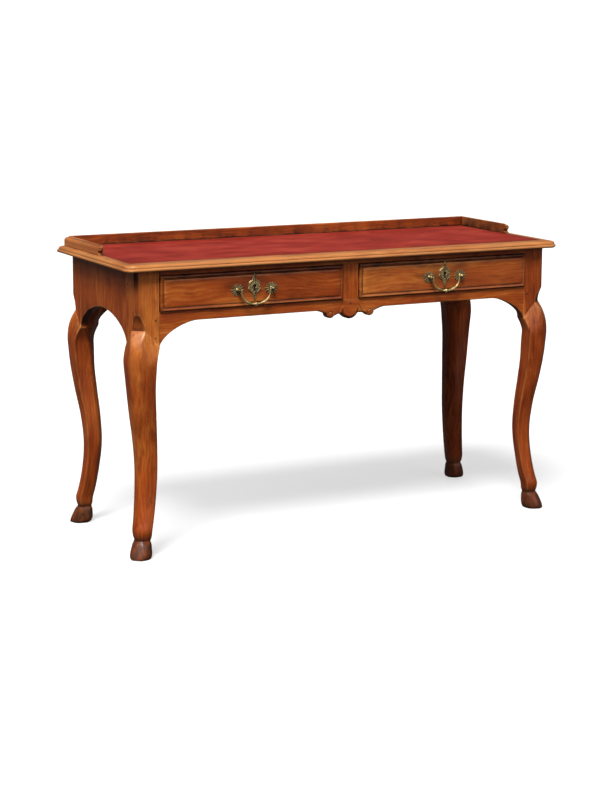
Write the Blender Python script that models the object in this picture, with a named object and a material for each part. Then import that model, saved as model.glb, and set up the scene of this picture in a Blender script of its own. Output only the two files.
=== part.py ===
"""Writing table in the French provincial manner, built as a joiner builds it.

Metres, +Z up, +X along the front, -Y towards the sitter. The origin lies on the
floor under the middle of the top. Four cabriole legs carry pinned aprons, two
drawers run between them, and a framed leather top with a low gallery lies above.
"""
import math

import bmesh
import bpy
import numpy as np
from mathutils import Matrix

# Overall sizes
TOP_LENGTH = 1.250
TOP_DEPTH = 0.478
FRAME_HEIGHT = 0.720
OVERHANG_SIDE = 0.031
OVERHANG_FRONT = 0.022

# Fits between pieces
JOINT_GAP = 0.0003
DRAWER_GAP = 0.0010
BOLT_GAP = 0.0004
PIN_GAP = 0.0004
PROUD = 0.0004

# Top, its moulded frame, the leather and the gallery
TOP_THICKNESS = 0.018
CORNER_CLIP = 0.0135
BORDER_FRONT = 0.046
BORDER_SIDE = 0.028
BEAD_RADIUS = 0.0046
BEAD_TURN = 70
OVOLO_SETBACK = 0.0034
OVOLO_REACH = 0.0072
OVOLO_RISE = 0.0066
MOULDING_QUIRK = 0.0009
LEATHER_THICKNESS = 0.0014
GALLERY_THICKNESS = 0.013
GALLERY_HEIGHT = 0.026
GALLERY_WALL = 0.0135
GALLERY_BEAD = 0.0021
GALLERY_FRONT_Y = -0.018
GALLERY_SCOOP = 0.0075
GALLERY_LEAN = 80

# Legs: the block at the top, the hollowed corner, the knee, the shank and the hoof
LEG_BLOCK = 0.062
BLOCK_CHAMFER = 0.009
BLOCK_ARRIS = 0.0008
HOLLOW_DROP = 0.108
CREASE_DROP = 0.147
CREASE_END_DROP = 0.187
ARCH_FOOT_DROP = 0.190
KNEE_DROP = 0.235
KNEE_POWER = 2.6
HOLLOW_FACET = 0.0255
KNEE_FACET = 0.015
HEEL_CUT = 0.042
NECK_HEIGHT = 0.045
HOOF_TOE = 0.0165
HOOF_INNER = 0.0375
HOOF_FACET = 0.020
HOOF_HEEL = 0.017
HOOF_SIDE = 0.022
HOOF_POWER = 1.3
SHANK_HEEL = 0.012
SHANK_ARRIS = 0.004
SOLE_EDGE = 0.002
# Shank stations: share of the way up from neck to knee, corner out, inner face in, facet leg
SHANK = (
    (0.00, -0.0020, 0.0360, 0.0085),
    (0.055, 0.0020, 0.0380, 0.0085),
    (0.10, -0.0050, 0.0428, 0.0075),
    (0.24, -0.0200, 0.0538, 0.0075),
    (0.40, -0.0255, 0.0600, 0.0075),
    (0.56, -0.0180, 0.0575, 0.0078),
    (0.72, -0.0015, 0.0500, 0.0085),
    (0.875, 0.0130, 0.0432, 0.0105),
    (1.00, 0.0175, 0.0436, KNEE_FACET),
)

# Frame under the top
APRON_THICKNESS = 0.022
TOP_RAIL_DEPTH = 0.012
TOP_RAIL_WIDTH = 0.045
DRAWER_OPENING_HEIGHT = 0.091
FRONT_RAIL_DEPTH = 0.025
STILE_WIDTH = 0.044
ARCH_RUN = 0.103
FRONT_ARCH_POWER = 1.6
SIDE_ARCH_RISE = 0.070
SIDE_ARCH_POWER = 1.75
TENON_LENGTH = 0.028
TENON_THICKNESS = 0.009
TENON_SHOULDER = 0.010
DOVETAIL_LENGTH = 0.018
DOVETAIL_NECK = 0.020
DOVETAIL_FLARE = 0.003
STILE_TENON = 0.014
STILE_STUB = 0.006
PEG_RADIUS = 0.0033
PEG_LENGTH = 0.030
PEG_INSET = 0.0105
PEG_EDGE = 0.014

# Scalloped middle of the front rail
TONGUE_RADIUS = 0.0260
TONGUE_HALF = 0.0235
TONGUE_DROP = 0.0260
SCROLL_OUT = 0.0575
SCROLL_RADIUS = 0.0118
SCROLL_DROP = 0.0215
SCROLL_START = 215
SCROLL_END = 375
CUSP_OUT = 0.0365
CUSP_DROP = 0.0118
OGEE_OUT = 0.1010
OGEE_POWER = 1.5

# Drawer carcass inside the frame
RUNNER_WIDTH = 0.036
RUNNER_DEPTH = 0.020
CENTRE_RUNNER_WIDTH = 0.090
GUIDE_HEIGHT = 0.023
KICKER_DEPTH = 0.021
SCREW_RADIUS = 0.0020
SCREW_HEAD = 0.0042
SCREW_LENGTH = 0.030
SCREW_SETBACK = 0.045

# Drawers
FRONT_THICKNESS = 0.022
FRONT_PROUD = 0.0010
FRONT_OVOLO = 0.0050
FRONT_FILLET = 0.0010
FRONT_COVE_WIDTH = 0.0045
FRONT_COVE_DEPTH = 0.0020
FIELD_STEP = 0.0010
FIELD_RISE = 0.0025
DRAWER_BACK_ROOM = 0.010
SIDE_THICKNESS = 0.011
SIDE_HEIGHT = 0.078
BACK_THICKNESS = 0.011
BOTTOM_THICKNESS = 0.006
BOTTOM_LIFT = 0.008
GROOVE_DEPTH = 0.004
DOVETAIL_LAP = 0.006
TAIL_SPLAY = 0.003
TAIL_SHARE = 0.80
FRONT_TAIL_COUNT = 3
BACK_TAIL_COUNT = 2

# Locks and brass mounts
LOCK_WIDTH = 0.048
LOCK_HEIGHT = 0.046
LOCK_DEPTH = 0.009
LOCK_PLATE_MARGIN = 0.009
LOCK_PLATE_THICKNESS = 0.0015
BOLT_WIDTH = 0.022
BOLT_THICKNESS = 0.004
BOLT_HEIGHT = 0.020
BOLT_TRAVEL = 0.008
LOCK_SCREW_RADIUS = 0.0013
LOCK_SCREW_HEAD = 0.0028
LOCK_SCREW_LENGTH = 0.008
KEYHOLE_HEIGHT = 0.051
KEYHOLE_RADIUS = 0.0026
KEYHOLE_SLOT = 0.0085
KEYHOLE_SLOT_WIDTH = 0.0026
PLATE_THICKNESS = 0.0016
PLATE_HALF_WIDTH = 0.0165
PLATE_BODY = 0.020
PLATE_SPIRE = 0.031
PLATE_DROP = 0.034
PLATE_LOBE = 0.0013
PLATE_LOBES = 6
PLATE_NECK = 0.0030
PLATE_PIN_UP = 0.0164
PLATE_PIN_DOWN = 0.0180
PLATE_PIN_RADIUS = 0.0007
PLATE_PIN_HEAD = 0.0016
PLATE_PIN_LENGTH = 0.008
PULL_HEIGHT = 0.044
POST_SPREAD = 0.094
POST_RADIUS = 0.0022
POST_REACH = 0.0115
POST_HEAD = 0.0046
POST_COLLAR = 0.0050
POST_COLLAR_THICKNESS = 0.0018
ROSETTE_RADIUS = 0.0150
ROSETTE_LOBE = 0.0017
ROSETTE_LOBES = 12
ROSETTE_THICKNESS = 0.0022
NUT_WIDTH = 0.010
NUT_THICKNESS = 0.004
BAIL_DROP = 0.037
BAIL_RADIUS = 0.0021
BAIL_BELLY = 0.10
BAIL_POWER = 0.85
BAIL_SWELL = 0.0018
BAIL_SWELL_AT = 0.17
BAIL_SWELL_RUN = 0.09
BAIL_KNOP = 0.0038
BAIL_KNOP_RUN = 0.028
BAIL_PIN = 0.0014

# Facet counts
ARC_STEPS = 8
MOULDING_STEPS = 5
HOLLOW_STEPS = 5
KNEE_STEPS = 12
SHANK_STEPS = 19
HOOF_STEPS = 6
ROUND_SIDES = 12
SMALL_SIDES = 8
PLATE_STEPS = 40
BAIL_STEPS = 34
WELD = 0.00002

# Places that follow from the sizes above
FRAME_X = TOP_LENGTH / 2 - OVERHANG_SIDE
FRAME_Y = TOP_DEPTH / 2 - OVERHANG_FRONT
INNER_X = FRAME_X - LEG_BLOCK
INNER_Y = FRAME_Y - LEG_BLOCK
SILL = FRAME_HEIGHT - TOP_RAIL_DEPTH - DRAWER_OPENING_HEIGHT
RAIL_BOTTOM = SILL - FRONT_RAIL_DEPTH
ARCH_FOOT = FRAME_HEIGHT - ARCH_FOOT_DROP
TOP_UNDER = FRAME_HEIGHT + JOINT_GAP
TOP_SURFACE = TOP_UNDER + TOP_THICKNESS
OPENING_WIDTH = INNER_X - STILE_WIDTH / 2
DRAWER_WIDTH = OPENING_WIDTH - 2 * DRAWER_GAP
DRAWER_HEIGHT = DRAWER_OPENING_HEIGHT - DRAWER_GAP - JOINT_GAP
DRAWER_CENTRE = STILE_WIDTH / 2 + OPENING_WIDTH / 2
FIELD_PROUD = FRONT_PROUD + FRONT_OVOLO - FRONT_FILLET - FRONT_COVE_DEPTH + FIELD_RISE
APRON_INNER_Y = FRAME_Y - APRON_THICKNESS
DRAWER_LENGTH = FRAME_Y + APRON_INNER_Y - DRAWER_BACK_ROOM
POST_AXIS_Y = -(FIELD_PROUD + POST_REACH)

ACROSS = Matrix.Rotation(math.pi / 2, 4, "X")
ALONG = Matrix(((0, 0, 1, 0), (1, 0, 0, 0), (0, 1, 0, 0), (0, 0, 0, 1)))
TO_X = Matrix.Rotation(math.pi / 2, 4, "Y")
TO_Y = Matrix.Rotation(-math.pi / 2, 4, "X")


def clear_scene():
    """Remove every object, so the model starts from nothing."""
    for old in list(bpy.data.objects):
        bpy.data.objects.remove(old, do_unlink=True)


def collection(name):
    """Collection of that name, linked to the scene."""
    group = bpy.data.collections.new(name)
    bpy.context.scene.collection.children.link(group)
    return group


def finish_material(name, colour, roughness, metallic=0.0):
    """Principled material with a plain colour given as linear red, green and blue."""
    material = bpy.data.materials.new(name)
    material.use_nodes = True
    shader = material.node_tree.nodes["Principled BSDF"]
    shader.inputs["Base Color"].default_value = (*colour, 1.0)
    shader.inputs["Roughness"].default_value = roughness
    shader.inputs["Metallic"].default_value = metallic
    return material


clear_scene()
TABLE = collection("writing_table")
CUTTERS = collection("cutters")
WALNUT = finish_material("waxed_walnut", (0.36, 0.13, 0.045), 0.38)
OAK = finish_material("dry_oak", (0.33, 0.20, 0.10), 0.70)
LEATHER = finish_material("red_leather", (0.38, 0.05, 0.035), 0.55)
BRASS = finish_material("old_brass", (0.42, 0.30, 0.11), 0.35, 1.0)
IRON = finish_material("lock_iron", (0.13, 0.12, 0.11), 0.50, 1.0)


def add_part(name, mesh, material, location=(0.0, 0.0, 0.0), parent=None):
    """Put a mesh into the table as one named piece."""
    part = bpy.data.objects.new(name, mesh)
    TABLE.objects.link(part)
    mesh.materials.clear()
    mesh.materials.append(material)
    part.location = location
    part.parent = parent
    return part


def add_empty(name, location, parent=None):
    """Named point that carries a moving group."""
    point = bpy.data.objects.new(name, None)
    TABLE.objects.link(point)
    point.location = location
    point.parent = parent
    return point


def combine(part, mesh, operation="DIFFERENCE"):
    """Cut a mesh out of a part, or join it on, in the part's own frame."""
    tool = bpy.data.objects.new(part.name + "_" + operation.lower(), mesh)
    CUTTERS.objects.link(tool)
    tool.location = part.location
    tool.parent = part.parent
    tool.hide_render = True
    tool.display_type = "WIRE"
    step = part.modifiers.new(operation.lower(), "BOOLEAN")
    step.operation = operation
    step.object = tool
    return part


def to_mesh(body, name="shape"):
    """Close a bmesh into a mesh with its faces pointing out."""
    bmesh.ops.recalc_face_normals(body, faces=body.faces)
    mesh = bpy.data.meshes.new(name)
    body.to_mesh(mesh)
    body.free()
    return mesh


def add_box(body, low, high):
    """Box between two corners, added to a bmesh."""
    low, high = np.array(low), np.array(high)
    size = Matrix.Diagonal((*(high - low), 1.0))
    bmesh.ops.create_cube(body, size=1.0, matrix=Matrix.Translation((low + high) / 2) @ size)


def box_mesh(*corner_pairs):
    """One mesh of separate boxes, each given as its lowest and highest corner."""
    body = bmesh.new()
    for low, high in corner_pairs:
        add_box(body, low, high)
    return to_mesh(body)


def add_round(body, start, turn, length, radius, tip=None, sides=ROUND_SIDES):
    """Cylinder or cone from a start point, along the turned Z axis."""
    middle = Matrix.Translation(start) @ turn @ Matrix.Translation((0, 0, length / 2))
    bmesh.ops.create_cone(body, cap_ends=True, segments=sides, radius1=radius,
                          radius2=radius if tip is None else tip, depth=length, matrix=middle)


def round_mesh(starts, turn, length, radius, sides=ROUND_SIDES):
    """One mesh of equal cylinders, one from each start point."""
    body = bmesh.new()
    for start in starts:
        add_round(body, start, turn, length, radius, sides=sides)
    return to_mesh(body)


def add_prism(body, points, low, high):
    """Straight prism over a flat outline, from one level to another along Z."""
    lower = [body.verts.new((u, v, low)) for u, v in points]
    upper = [body.verts.new((u, v, high)) for u, v in points]
    for i in range(len(points)):
        j = (i + 1) % len(points)
        body.faces.new((lower[i], lower[j], upper[j], upper[i]))
    body.faces.new(lower)
    body.faces.new(upper)


def outline_mesh(points, thickness, turn):
    """Flat outline given a thickness about its plane, then turned and placed."""
    body = bmesh.new()
    add_prism(body, points, -thickness / 2, thickness / 2)
    bmesh.ops.transform(body, matrix=turn, verts=body.verts)
    return to_mesh(body)


def curve_mesh(curve):
    """Mesh of a curve with its loose caps welded on; the curve is removed."""
    guide = bpy.data.objects.new("guide", curve)
    bpy.context.scene.collection.objects.link(guide)
    graph = bpy.context.evaluated_depsgraph_get()
    mesh = bpy.data.meshes.new_from_object(guide.evaluated_get(graph))
    bpy.data.objects.remove(guide)
    bpy.data.curves.remove(curve)
    body = bmesh.new()
    body.from_mesh(mesh)
    bpy.data.meshes.remove(mesh)
    bmesh.ops.remove_doubles(body, verts=body.verts, dist=WELD)
    return to_mesh(body)


def loft_mesh(rings):
    """Skin over rings of equal point count, closed at both ends."""
    body = bmesh.new()
    knots = [[body.verts.new(point) for point in ring] for ring in rings]
    for upper, lower in zip(knots, knots[1:]):
        for i in range(len(upper)):
            j = (i + 1) % len(upper)
            body.faces.new((upper[i], upper[j], lower[j], lower[i]))
    body.faces.new(knots[0])
    body.faces.new(knots[-1])
    bmesh.ops.remove_doubles(body, verts=body.verts, dist=WELD)
    bmesh.ops.dissolve_degenerate(body, edges=body.edges, dist=WELD)
    return to_mesh(body)


def add_turned(body, profile, place, sides=ROUND_SIDES):
    """Turned piece: a profile of radius and height, spun about the placed Z axis."""
    ends = [(0.0, profile[0][1]), *profile, (0.0, profile[-1][1])]
    knots = [body.verts.new((r, 0.0, h)) for r, h in ends]
    edges = [body.edges.new(pair) for pair in zip(knots, knots[1:])]
    bmesh.ops.spin(body, geom=knots + edges, cent=(0, 0, 0), axis=(0, 0, 1), angle=2 * math.pi,
                   steps=sides, use_merge=True)
    fresh = [v for v in body.verts if not v.tag]
    bmesh.ops.remove_doubles(body, verts=fresh, dist=WELD)
    fresh = [v for v in body.verts if not v.tag]
    bmesh.ops.transform(body, matrix=place, verts=fresh)
    for v in fresh:
        v.tag = True


def turned_mesh(profile, places, sides=ROUND_SIDES):
    """One mesh of equal turned pieces, one at each place."""
    body = bmesh.new()
    for place in places:
        add_turned(body, profile, place, sides)
    return to_mesh(body)


def smooth_shade(mesh, angle=math.radians(30)):
    """Shade a round mesh smooth, with its sharp arrises kept."""
    mesh.shade_smooth()
    mesh.set_sharp_from_angle(angle=angle)
    return mesh


def arc(centre, radius, start, end, steps=ARC_STEPS):
    """Points along an arc, angles in degrees."""
    angles = np.radians(np.linspace(start, end, steps + 1))
    return [(centre[0] + radius * math.cos(a), centre[1] + radius * math.sin(a)) for a in angles]


def through(xs, ys, x):
    """Smooth cubic through the stations, with slopes taken from their neighbours."""
    xs, ys = np.asarray(xs), np.asarray(ys)
    slopes = np.gradient(ys, xs)
    i = np.clip(np.searchsorted(xs, x) - 1, 0, len(xs) - 2)
    step = xs[i + 1] - xs[i]
    t = (x - xs[i]) / step
    rise = ys[i] * (1 + 2 * t) * (1 - t) ** 2 + ys[i + 1] * t * t * (3 - 2 * t)
    return rise + step * (slopes[i] * t * (1 - t) ** 2 - slopes[i + 1] * t * t * (1 - t))


def leg_ring(height, corner, inner, facet, heel, arris, crease=None, flank=1.0):
    """Ten-sided section of a leg, in distances in from the frame's two outer faces.

    The two faces stand out by the swell that puts the corner facet where it belongs.
    Above the end of the crease the face falls back to flush at the crease point.
    """
    swell = (corner + (facet - BLOCK_CHAMFER) / math.sqrt(2)) / math.sqrt(2)
    edge = swell * flank
    front = [(inner, arris - edge), (inner - arris, -edge)]
    if crease is None:
        front.append(((inner - arris + facet - swell) / 2, -(edge + swell) / 2))
    else:
        front.append((min(crease, inner - 2 * arris), 0.0))
    front.append((facet - swell, -swell))
    side = [(b, a) for a, b in reversed(front)]
    back = [(inner - heel, inner), (inner, inner - heel)]
    return [(a, b, height) for a, b in front + side + back]


def heel_cut(height):
    """Width of the cut across a leg's inner corner, widest at the foot of the arches."""
    knee = FRAME_HEIGHT - KNEE_DROP
    return float(np.interp(height, (knee, ARCH_FOOT, RAIL_BOTTOM), (SHANK_HEEL, HEEL_CUT, BLOCK_ARRIS)))


def leg_rings():
    """Sections of a cabriole leg from the top of the block to the sole of the hoof."""
    top = FRAME_HEIGHT
    crease = top - CREASE_DROP
    crease_end = top - CREASE_END_DROP
    knee = top - KNEE_DROP
    rings = [leg_ring(top, 0.0, LEG_BLOCK, BLOCK_CHAMFER, BLOCK_ARRIS, BLOCK_ARRIS)]
    # Hollowed corner: the facet sinks in along a quarter round while the faces stay flush
    for s in np.linspace(0, 1, HOLLOW_STEPS + 1):
        facet = BLOCK_CHAMFER + (HOLLOW_FACET - BLOCK_CHAMFER) * math.sin(s * math.pi / 2)
        sunk = (BLOCK_CHAMFER - facet) / math.sqrt(2)
        height = top - HOLLOW_DROP - (CREASE_DROP - HOLLOW_DROP) * s
        rings.append(leg_ring(height, sunk, LEG_BLOCK, facet, heel_cut(height), BLOCK_ARRIS))
    # Knee: the corner swells out fast, then slowly, and the crease runs across the face
    sunk_end = (BLOCK_CHAMFER - HOLLOW_FACET) / math.sqrt(2)
    for s in np.linspace(0, 1, KNEE_STEPS + 1)[1:]:
        height = crease + (knee - crease) * s
        corner = sunk_end + (SHANK[-1][1] - sunk_end) * (1 - (1 - s) ** KNEE_POWER)
        facet = HOLLOW_FACET + (KNEE_FACET - HOLLOW_FACET) * s
        arris = BLOCK_ARRIS + (SHANK_ARRIS - BLOCK_ARRIS) * s
        heel = heel_cut(height)
        below_arch = np.clip((ARCH_FOOT - height) / (ARCH_FOOT - knee), 0, 1)
        inner = LEG_BLOCK + (SHANK[-1][2] - LEG_BLOCK) * math.sin(below_arch * math.pi / 2)
        if height > crease_end:
            across = (crease - height) / (crease - crease_end)
            fold = HOLLOW_FACET + (LEG_BLOCK - HOLLOW_FACET) * across
            rings.append(leg_ring(height, corner, inner, facet, heel, arris, fold, 0.0))
        else:
            flank = (crease_end - height) / (crease_end - knee)
            flank = flank * (2 - flank)
            rings.append(leg_ring(height, corner, inner, facet, heel, arris, None, flank))
    # Shank: a smooth S through its stations
    shares, corners, inners, facets = np.array(SHANK).T
    for share in np.linspace(1, 0, SHANK_STEPS + 1)[1:]:
        height = NECK_HEIGHT + (knee - NECK_HEIGHT) * share
        row = [float(through(shares, values, share)) for values in (corners, inners, facets)]
        rings.append(leg_ring(height, *row, SHANK_HEEL, SHANK_ARRIS))
    # Hoof: the toe runs out and down, the heel stays upright
    start = np.array((SHANK[0][1], SHANK[0][2], SHANK[0][3], SHANK_HEEL, SHANK_ARRIS))
    end = np.array((HOOF_TOE, HOOF_INNER, HOOF_FACET, HOOF_HEEL, HOOF_SIDE))
    for s in np.linspace(0, 1, HOOF_STEPS + 1)[1:]:
        height = NECK_HEIGHT + (SOLE_EDGE - NECK_HEIGHT) * s
        rings.append(leg_ring(height, *(start + (end - start) * math.sin(s * math.pi / 2) ** HOOF_POWER)))
    sole = end + np.array((-SOLE_EDGE, -SOLE_EDGE, 0.0, 0.0, 0.0))
    rings.append(leg_ring(0.0, *sole))
    return rings


def make_leg(name, right, back):
    """One leg with its mortises, its pegs and, in front, the socket of the top rail."""
    def place(a, b, z):
        return (-right * a, -back * b, z)

    def corners(low, high):
        ends = np.array((place(*low), place(*high)))
        return ends.min(axis=0), ends.max(axis=0)

    mesh = loft_mesh([[place(*point) for point in ring] for ring in leg_rings()])
    leg = add_part(name, smooth_shade(mesh), WALNUT, (right * FRAME_X, back * FRAME_Y, 0.0))
    middle = APRON_THICKNESS / 2
    half = TENON_THICKNESS / 2 + JOINT_GAP
    deep = LEG_BLOCK - TENON_LENGTH - JOINT_GAP
    past = LEG_BLOCK + TENON_SHOULDER
    near = middle - half
    far = middle + half
    span = front_tenon() if back < 0 else side_tenon()
    tall = side_tenon()
    low, high = span[0] - JOINT_GAP, span[1] + JOINT_GAP
    lengthwise = corners((deep, near, low), (past, far, high))
    low, high = tall[0] - JOINT_GAP, tall[1] + JOINT_GAP
    crosswise = corners((near, deep, low), (far, past, high))
    combine(leg, box_mesh(lengthwise, crosswise))
    # Pegs are driven tight into the leg, so they are one with it and cross the mortises
    body = bmesh.new()
    length = PEG_LENGTH + PROUD
    for z in peg_heights(span):
        start = place(LEG_BLOCK - PEG_INSET, PEG_LENGTH, z)
        add_round(body, start, Matrix.Rotation(-back * math.pi / 2, 4, "X"), length, PEG_RADIUS)
    for z in peg_heights(tall):
        start = place(PEG_LENGTH, LEG_BLOCK - PEG_INSET, z)
        add_round(body, start, Matrix.Rotation(right * math.pi / 2, 4, "Y"), length, PEG_RADIUS)
    combine(leg, to_mesh(body), "UNION")
    if back < 0:
        lift = Matrix.Translation((0, 0, FRAME_HEIGHT - TOP_RAIL_DEPTH / 2))
        plan = dovetail_end(right, JOINT_GAP, -right * FRAME_X, FRAME_Y)
        combine(leg, outline_mesh(plan, TOP_RAIL_DEPTH + 2 * JOINT_GAP, lift))
    return leg


def front_tenon():
    """Lowest and highest edge of the front rail's tenon."""
    return ARCH_FOOT + TENON_SHOULDER, SILL - TENON_SHOULDER / 2


def side_tenon():
    """Lowest and highest edge of the tenon of a side apron or the back apron."""
    return RAIL_BOTTOM - 2 * TENON_SHOULDER, FRAME_HEIGHT - 2 * TENON_SHOULDER


def peg_heights(span):
    """Heights of the two pegs that pin a tenon."""
    return span[0] + PEG_EDGE, span[1] - PEG_EDGE


def dovetail_end(right, grow, shift_x=0.0, shift_y=0.0):
    """Plan outline of the top rail's dovetail at one end, widened by a clearance."""
    middle = TOP_RAIL_WIDTH / 2 - FRAME_Y + shift_y
    neck = DOVETAIL_NECK / 2 + grow
    tip = neck + DOVETAIL_FLARE
    root = right * (INNER_X - TENON_SHOULDER * (grow > 0)) + shift_x
    end = right * (INNER_X + DOVETAIL_LENGTH + grow) + shift_x
    return [(root, middle - neck), (end, middle - tip), (end, middle + tip), (root, middle + neck)]


def arch_points(end, run, rise, power, foot):
    """Arch from its foot in towards its crown, as a quarter of a superellipse."""
    points = []
    for angle in np.linspace(0, math.pi / 2, ARC_STEPS + 1):
        inward = run * (1 - math.cos(angle) ** (2 / power))
        points.append((end - inward, foot + rise * math.sin(angle) ** (2 / power)))
    return points


def scallop_half():
    """Right half of the carved middle: tongue, cusp, scroll and ogee, from the middle outwards."""
    tongue_centre = (0.0, RAIL_BOTTOM - TONGUE_DROP + TONGUE_RADIUS)
    tongue_end = -90 + math.degrees(math.asin(TONGUE_HALF / TONGUE_RADIUS))
    points = arc(tongue_centre, TONGUE_RADIUS, -90, tongue_end, MOULDING_STEPS)
    points.append((CUSP_OUT, RAIL_BOTTOM - CUSP_DROP))
    scroll_centre = (SCROLL_OUT, RAIL_BOTTOM - SCROLL_DROP + SCROLL_RADIUS)
    points += arc(scroll_centre, SCROLL_RADIUS, SCROLL_START, SCROLL_END)
    foot = points[-1]
    for s in np.linspace(0, 1, MOULDING_STEPS + 1)[1:]:
        out = foot[0] + (OGEE_OUT - foot[0]) * s
        points.append((out, RAIL_BOTTOM + (foot[1] - RAIL_BOTTOM) * (1 - s) ** OGEE_POWER))
    return points


def end_arch():
    """Arched end of the front rail and of the back apron, from its crown to its foot."""
    rise = RAIL_BOTTOM - ARCH_FOOT
    return list(reversed(arch_points(INNER_X - JOINT_GAP, ARCH_RUN, rise, FRONT_ARCH_POWER, ARCH_FOOT)))


def front_rail_outline():
    """Front rail seen from the front: flat top, arched ends and the scalloped middle."""
    right = scallop_half() + end_arch() + [(INNER_X - JOINT_GAP, SILL)]
    left = [(-u, v) for u, v in reversed(right)]
    return right + left[:-1]


def back_apron_outline():
    """Back apron: straight below, with the front's arched ends."""
    right = end_arch() + [(INNER_X - JOINT_GAP, FRAME_HEIGHT)]
    return right + [(-u, v) for u, v in reversed(right)]


def side_apron_outline():
    """Side apron: one long arch from leg to leg."""
    end = INNER_Y - JOINT_GAP
    foot = ARCH_FOOT + TENON_SHOULDER / 2
    arch = arch_points(end, end, SIDE_ARCH_RISE, SIDE_ARCH_POWER, foot)
    right = list(reversed(arch)) + [(end, FRAME_HEIGHT)]
    left = [(-u, v) for u, v in reversed(right)]
    return right + left[:-1]


def make_apron(name, outline, turn, centre, axis, half_length, span):
    """Apron or rail with its two tenons and their peg holes."""
    apron = add_part(name, outline_mesh(outline, APRON_THICKNESS, turn), WALNUT, centre)
    half = TENON_THICKNESS / 2
    pairs = []
    for sign in (-1, 1):
        low = [-half, -half, span[0]]
        high = [half, half, span[1]]
        inside = sign * (half_length - TENON_SHOULDER)
        outside = sign * (half_length + TENON_LENGTH)
        low[axis], high[axis] = min(inside, outside), max(inside, outside)
        pairs.append((low, high))
    combine(apron, box_mesh(*pairs), "UNION")
    starts = []
    for sign in (-1, 1):
        for z in peg_heights(span):
            start = [-APRON_THICKNESS, -APRON_THICKNESS, z]
            start[axis] = sign * (half_length + PEG_INSET)
            starts.append(start)
    turn_peg = TO_Y if axis == 0 else TO_X
    combine(apron, round_mesh(starts, turn_peg, 2 * APRON_THICKNESS, PEG_RADIUS + JOINT_GAP))
    return apron


def make_aprons():
    """Front rail, back apron and the two side aprons."""
    middle_y = FRAME_Y - APRON_THICKNESS / 2
    middle_x = FRAME_X - APRON_THICKNESS / 2
    outline = front_rail_outline()
    rail = make_apron("front_apron_rail", outline, ACROSS, (0, -middle_y, 0), 0, INNER_X, front_tenon())
    slot = STILE_WIDTH / 2 - TENON_SHOULDER + JOINT_GAP
    half = TENON_THICKNESS / 2 + JOINT_GAP
    mortise = box_mesh(((-slot, -half, SILL - STILE_TENON - JOINT_GAP), (slot, half, SILL + TENON_SHOULDER)))
    combine(rail, mortise)
    peg_start = (0, -APRON_THICKNESS / 2 - PROUD, SILL - PEG_INSET)
    combine(rail, round_mesh([peg_start], TO_Y, APRON_THICKNESS - JOINT_GAP, PEG_RADIUS), "UNION")
    outline = back_apron_outline()
    make_apron("back_apron", outline, ACROSS, (0, middle_y, 0), 0, INNER_X, side_tenon())
    outline = side_apron_outline()
    for side, right in (("left", -1), ("right", 1)):
        place = (right * middle_x, 0, 0)
        make_apron("side_apron_" + side, outline, ALONG, place, 1, INNER_Y, side_tenon())


def make_top_rail():
    """Thin rail over the drawers, dovetailed into the front legs, with two lock mortises."""
    right = dovetail_end(1, 0.0)
    left = dovetail_end(-1, 0.0)
    front = -FRAME_Y
    back = TOP_RAIL_WIDTH - FRAME_Y
    end = INNER_X - JOINT_GAP
    outline = [(-end, front), (end, front), (end, right[0][1]), right[1], right[2]]
    outline += [(end, right[3][1]), (end, back)]
    outline += [(-end, back), (-end, left[3][1]), left[2], left[1], (-end, left[0][1])]
    place = Matrix.Translation((0, 0, FRAME_HEIGHT - TOP_RAIL_DEPTH / 2))
    rail = add_part("top_rail", outline_mesh(outline, TOP_RAIL_DEPTH - JOINT_GAP, place), WALNUT)
    under = FRAME_HEIGHT - TOP_RAIL_DEPTH
    bolt_y = lock_middle() - FRAME_Y
    pairs = []
    for right in (-1, 1):
        x = right * DRAWER_CENTRE
        wide = BOLT_WIDTH / 2 + 2 * BOLT_GAP
        thick = BOLT_THICKNESS / 2 + 2 * BOLT_GAP
        low = (x - wide, bolt_y - thick, under - BOLT_TRAVEL)
        pairs.append((low, (x + wide, bolt_y + thick, under + BOLT_TRAVEL)))
    half = TENON_THICKNESS / 2 + JOINT_GAP
    stile_y = APRON_THICKNESS / 2 - FRAME_Y
    slot = STILE_WIDTH / 2 - TENON_SHOULDER + JOINT_GAP
    stub = under + STILE_STUB + JOINT_GAP
    pairs.append(((-slot, stile_y - half, under - TENON_SHOULDER), (slot, stile_y + half, stub)))
    combine(rail, box_mesh(*pairs))


def make_stile():
    """Upright between the drawers, tenoned and pegged into the front rail."""
    low = SILL + JOINT_GAP
    high = FRAME_HEIGHT - TOP_RAIL_DEPTH - JOINT_GAP
    half = STILE_WIDTH / 2
    thick = APRON_THICKNESS / 2
    middle_y = thick - FRAME_Y
    mesh = box_mesh(((-half, -thick, low), (half, thick, high)))
    stile = add_part("centre_stile", mesh, WALNUT, (0, middle_y, 0))
    tenon = half - TENON_SHOULDER
    tongue = TENON_THICKNESS / 2
    foot = (-tenon, -tongue, SILL - STILE_TENON)
    combine(stile, box_mesh((foot, (tenon, tongue, high + STILE_STUB - JOINT_GAP))), "UNION")
    start = (0, -APRON_THICKNESS, SILL - PEG_INSET)
    combine(stile, round_mesh([start], TO_Y, 2 * APRON_THICKNESS, PEG_RADIUS + JOINT_GAP))


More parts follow.
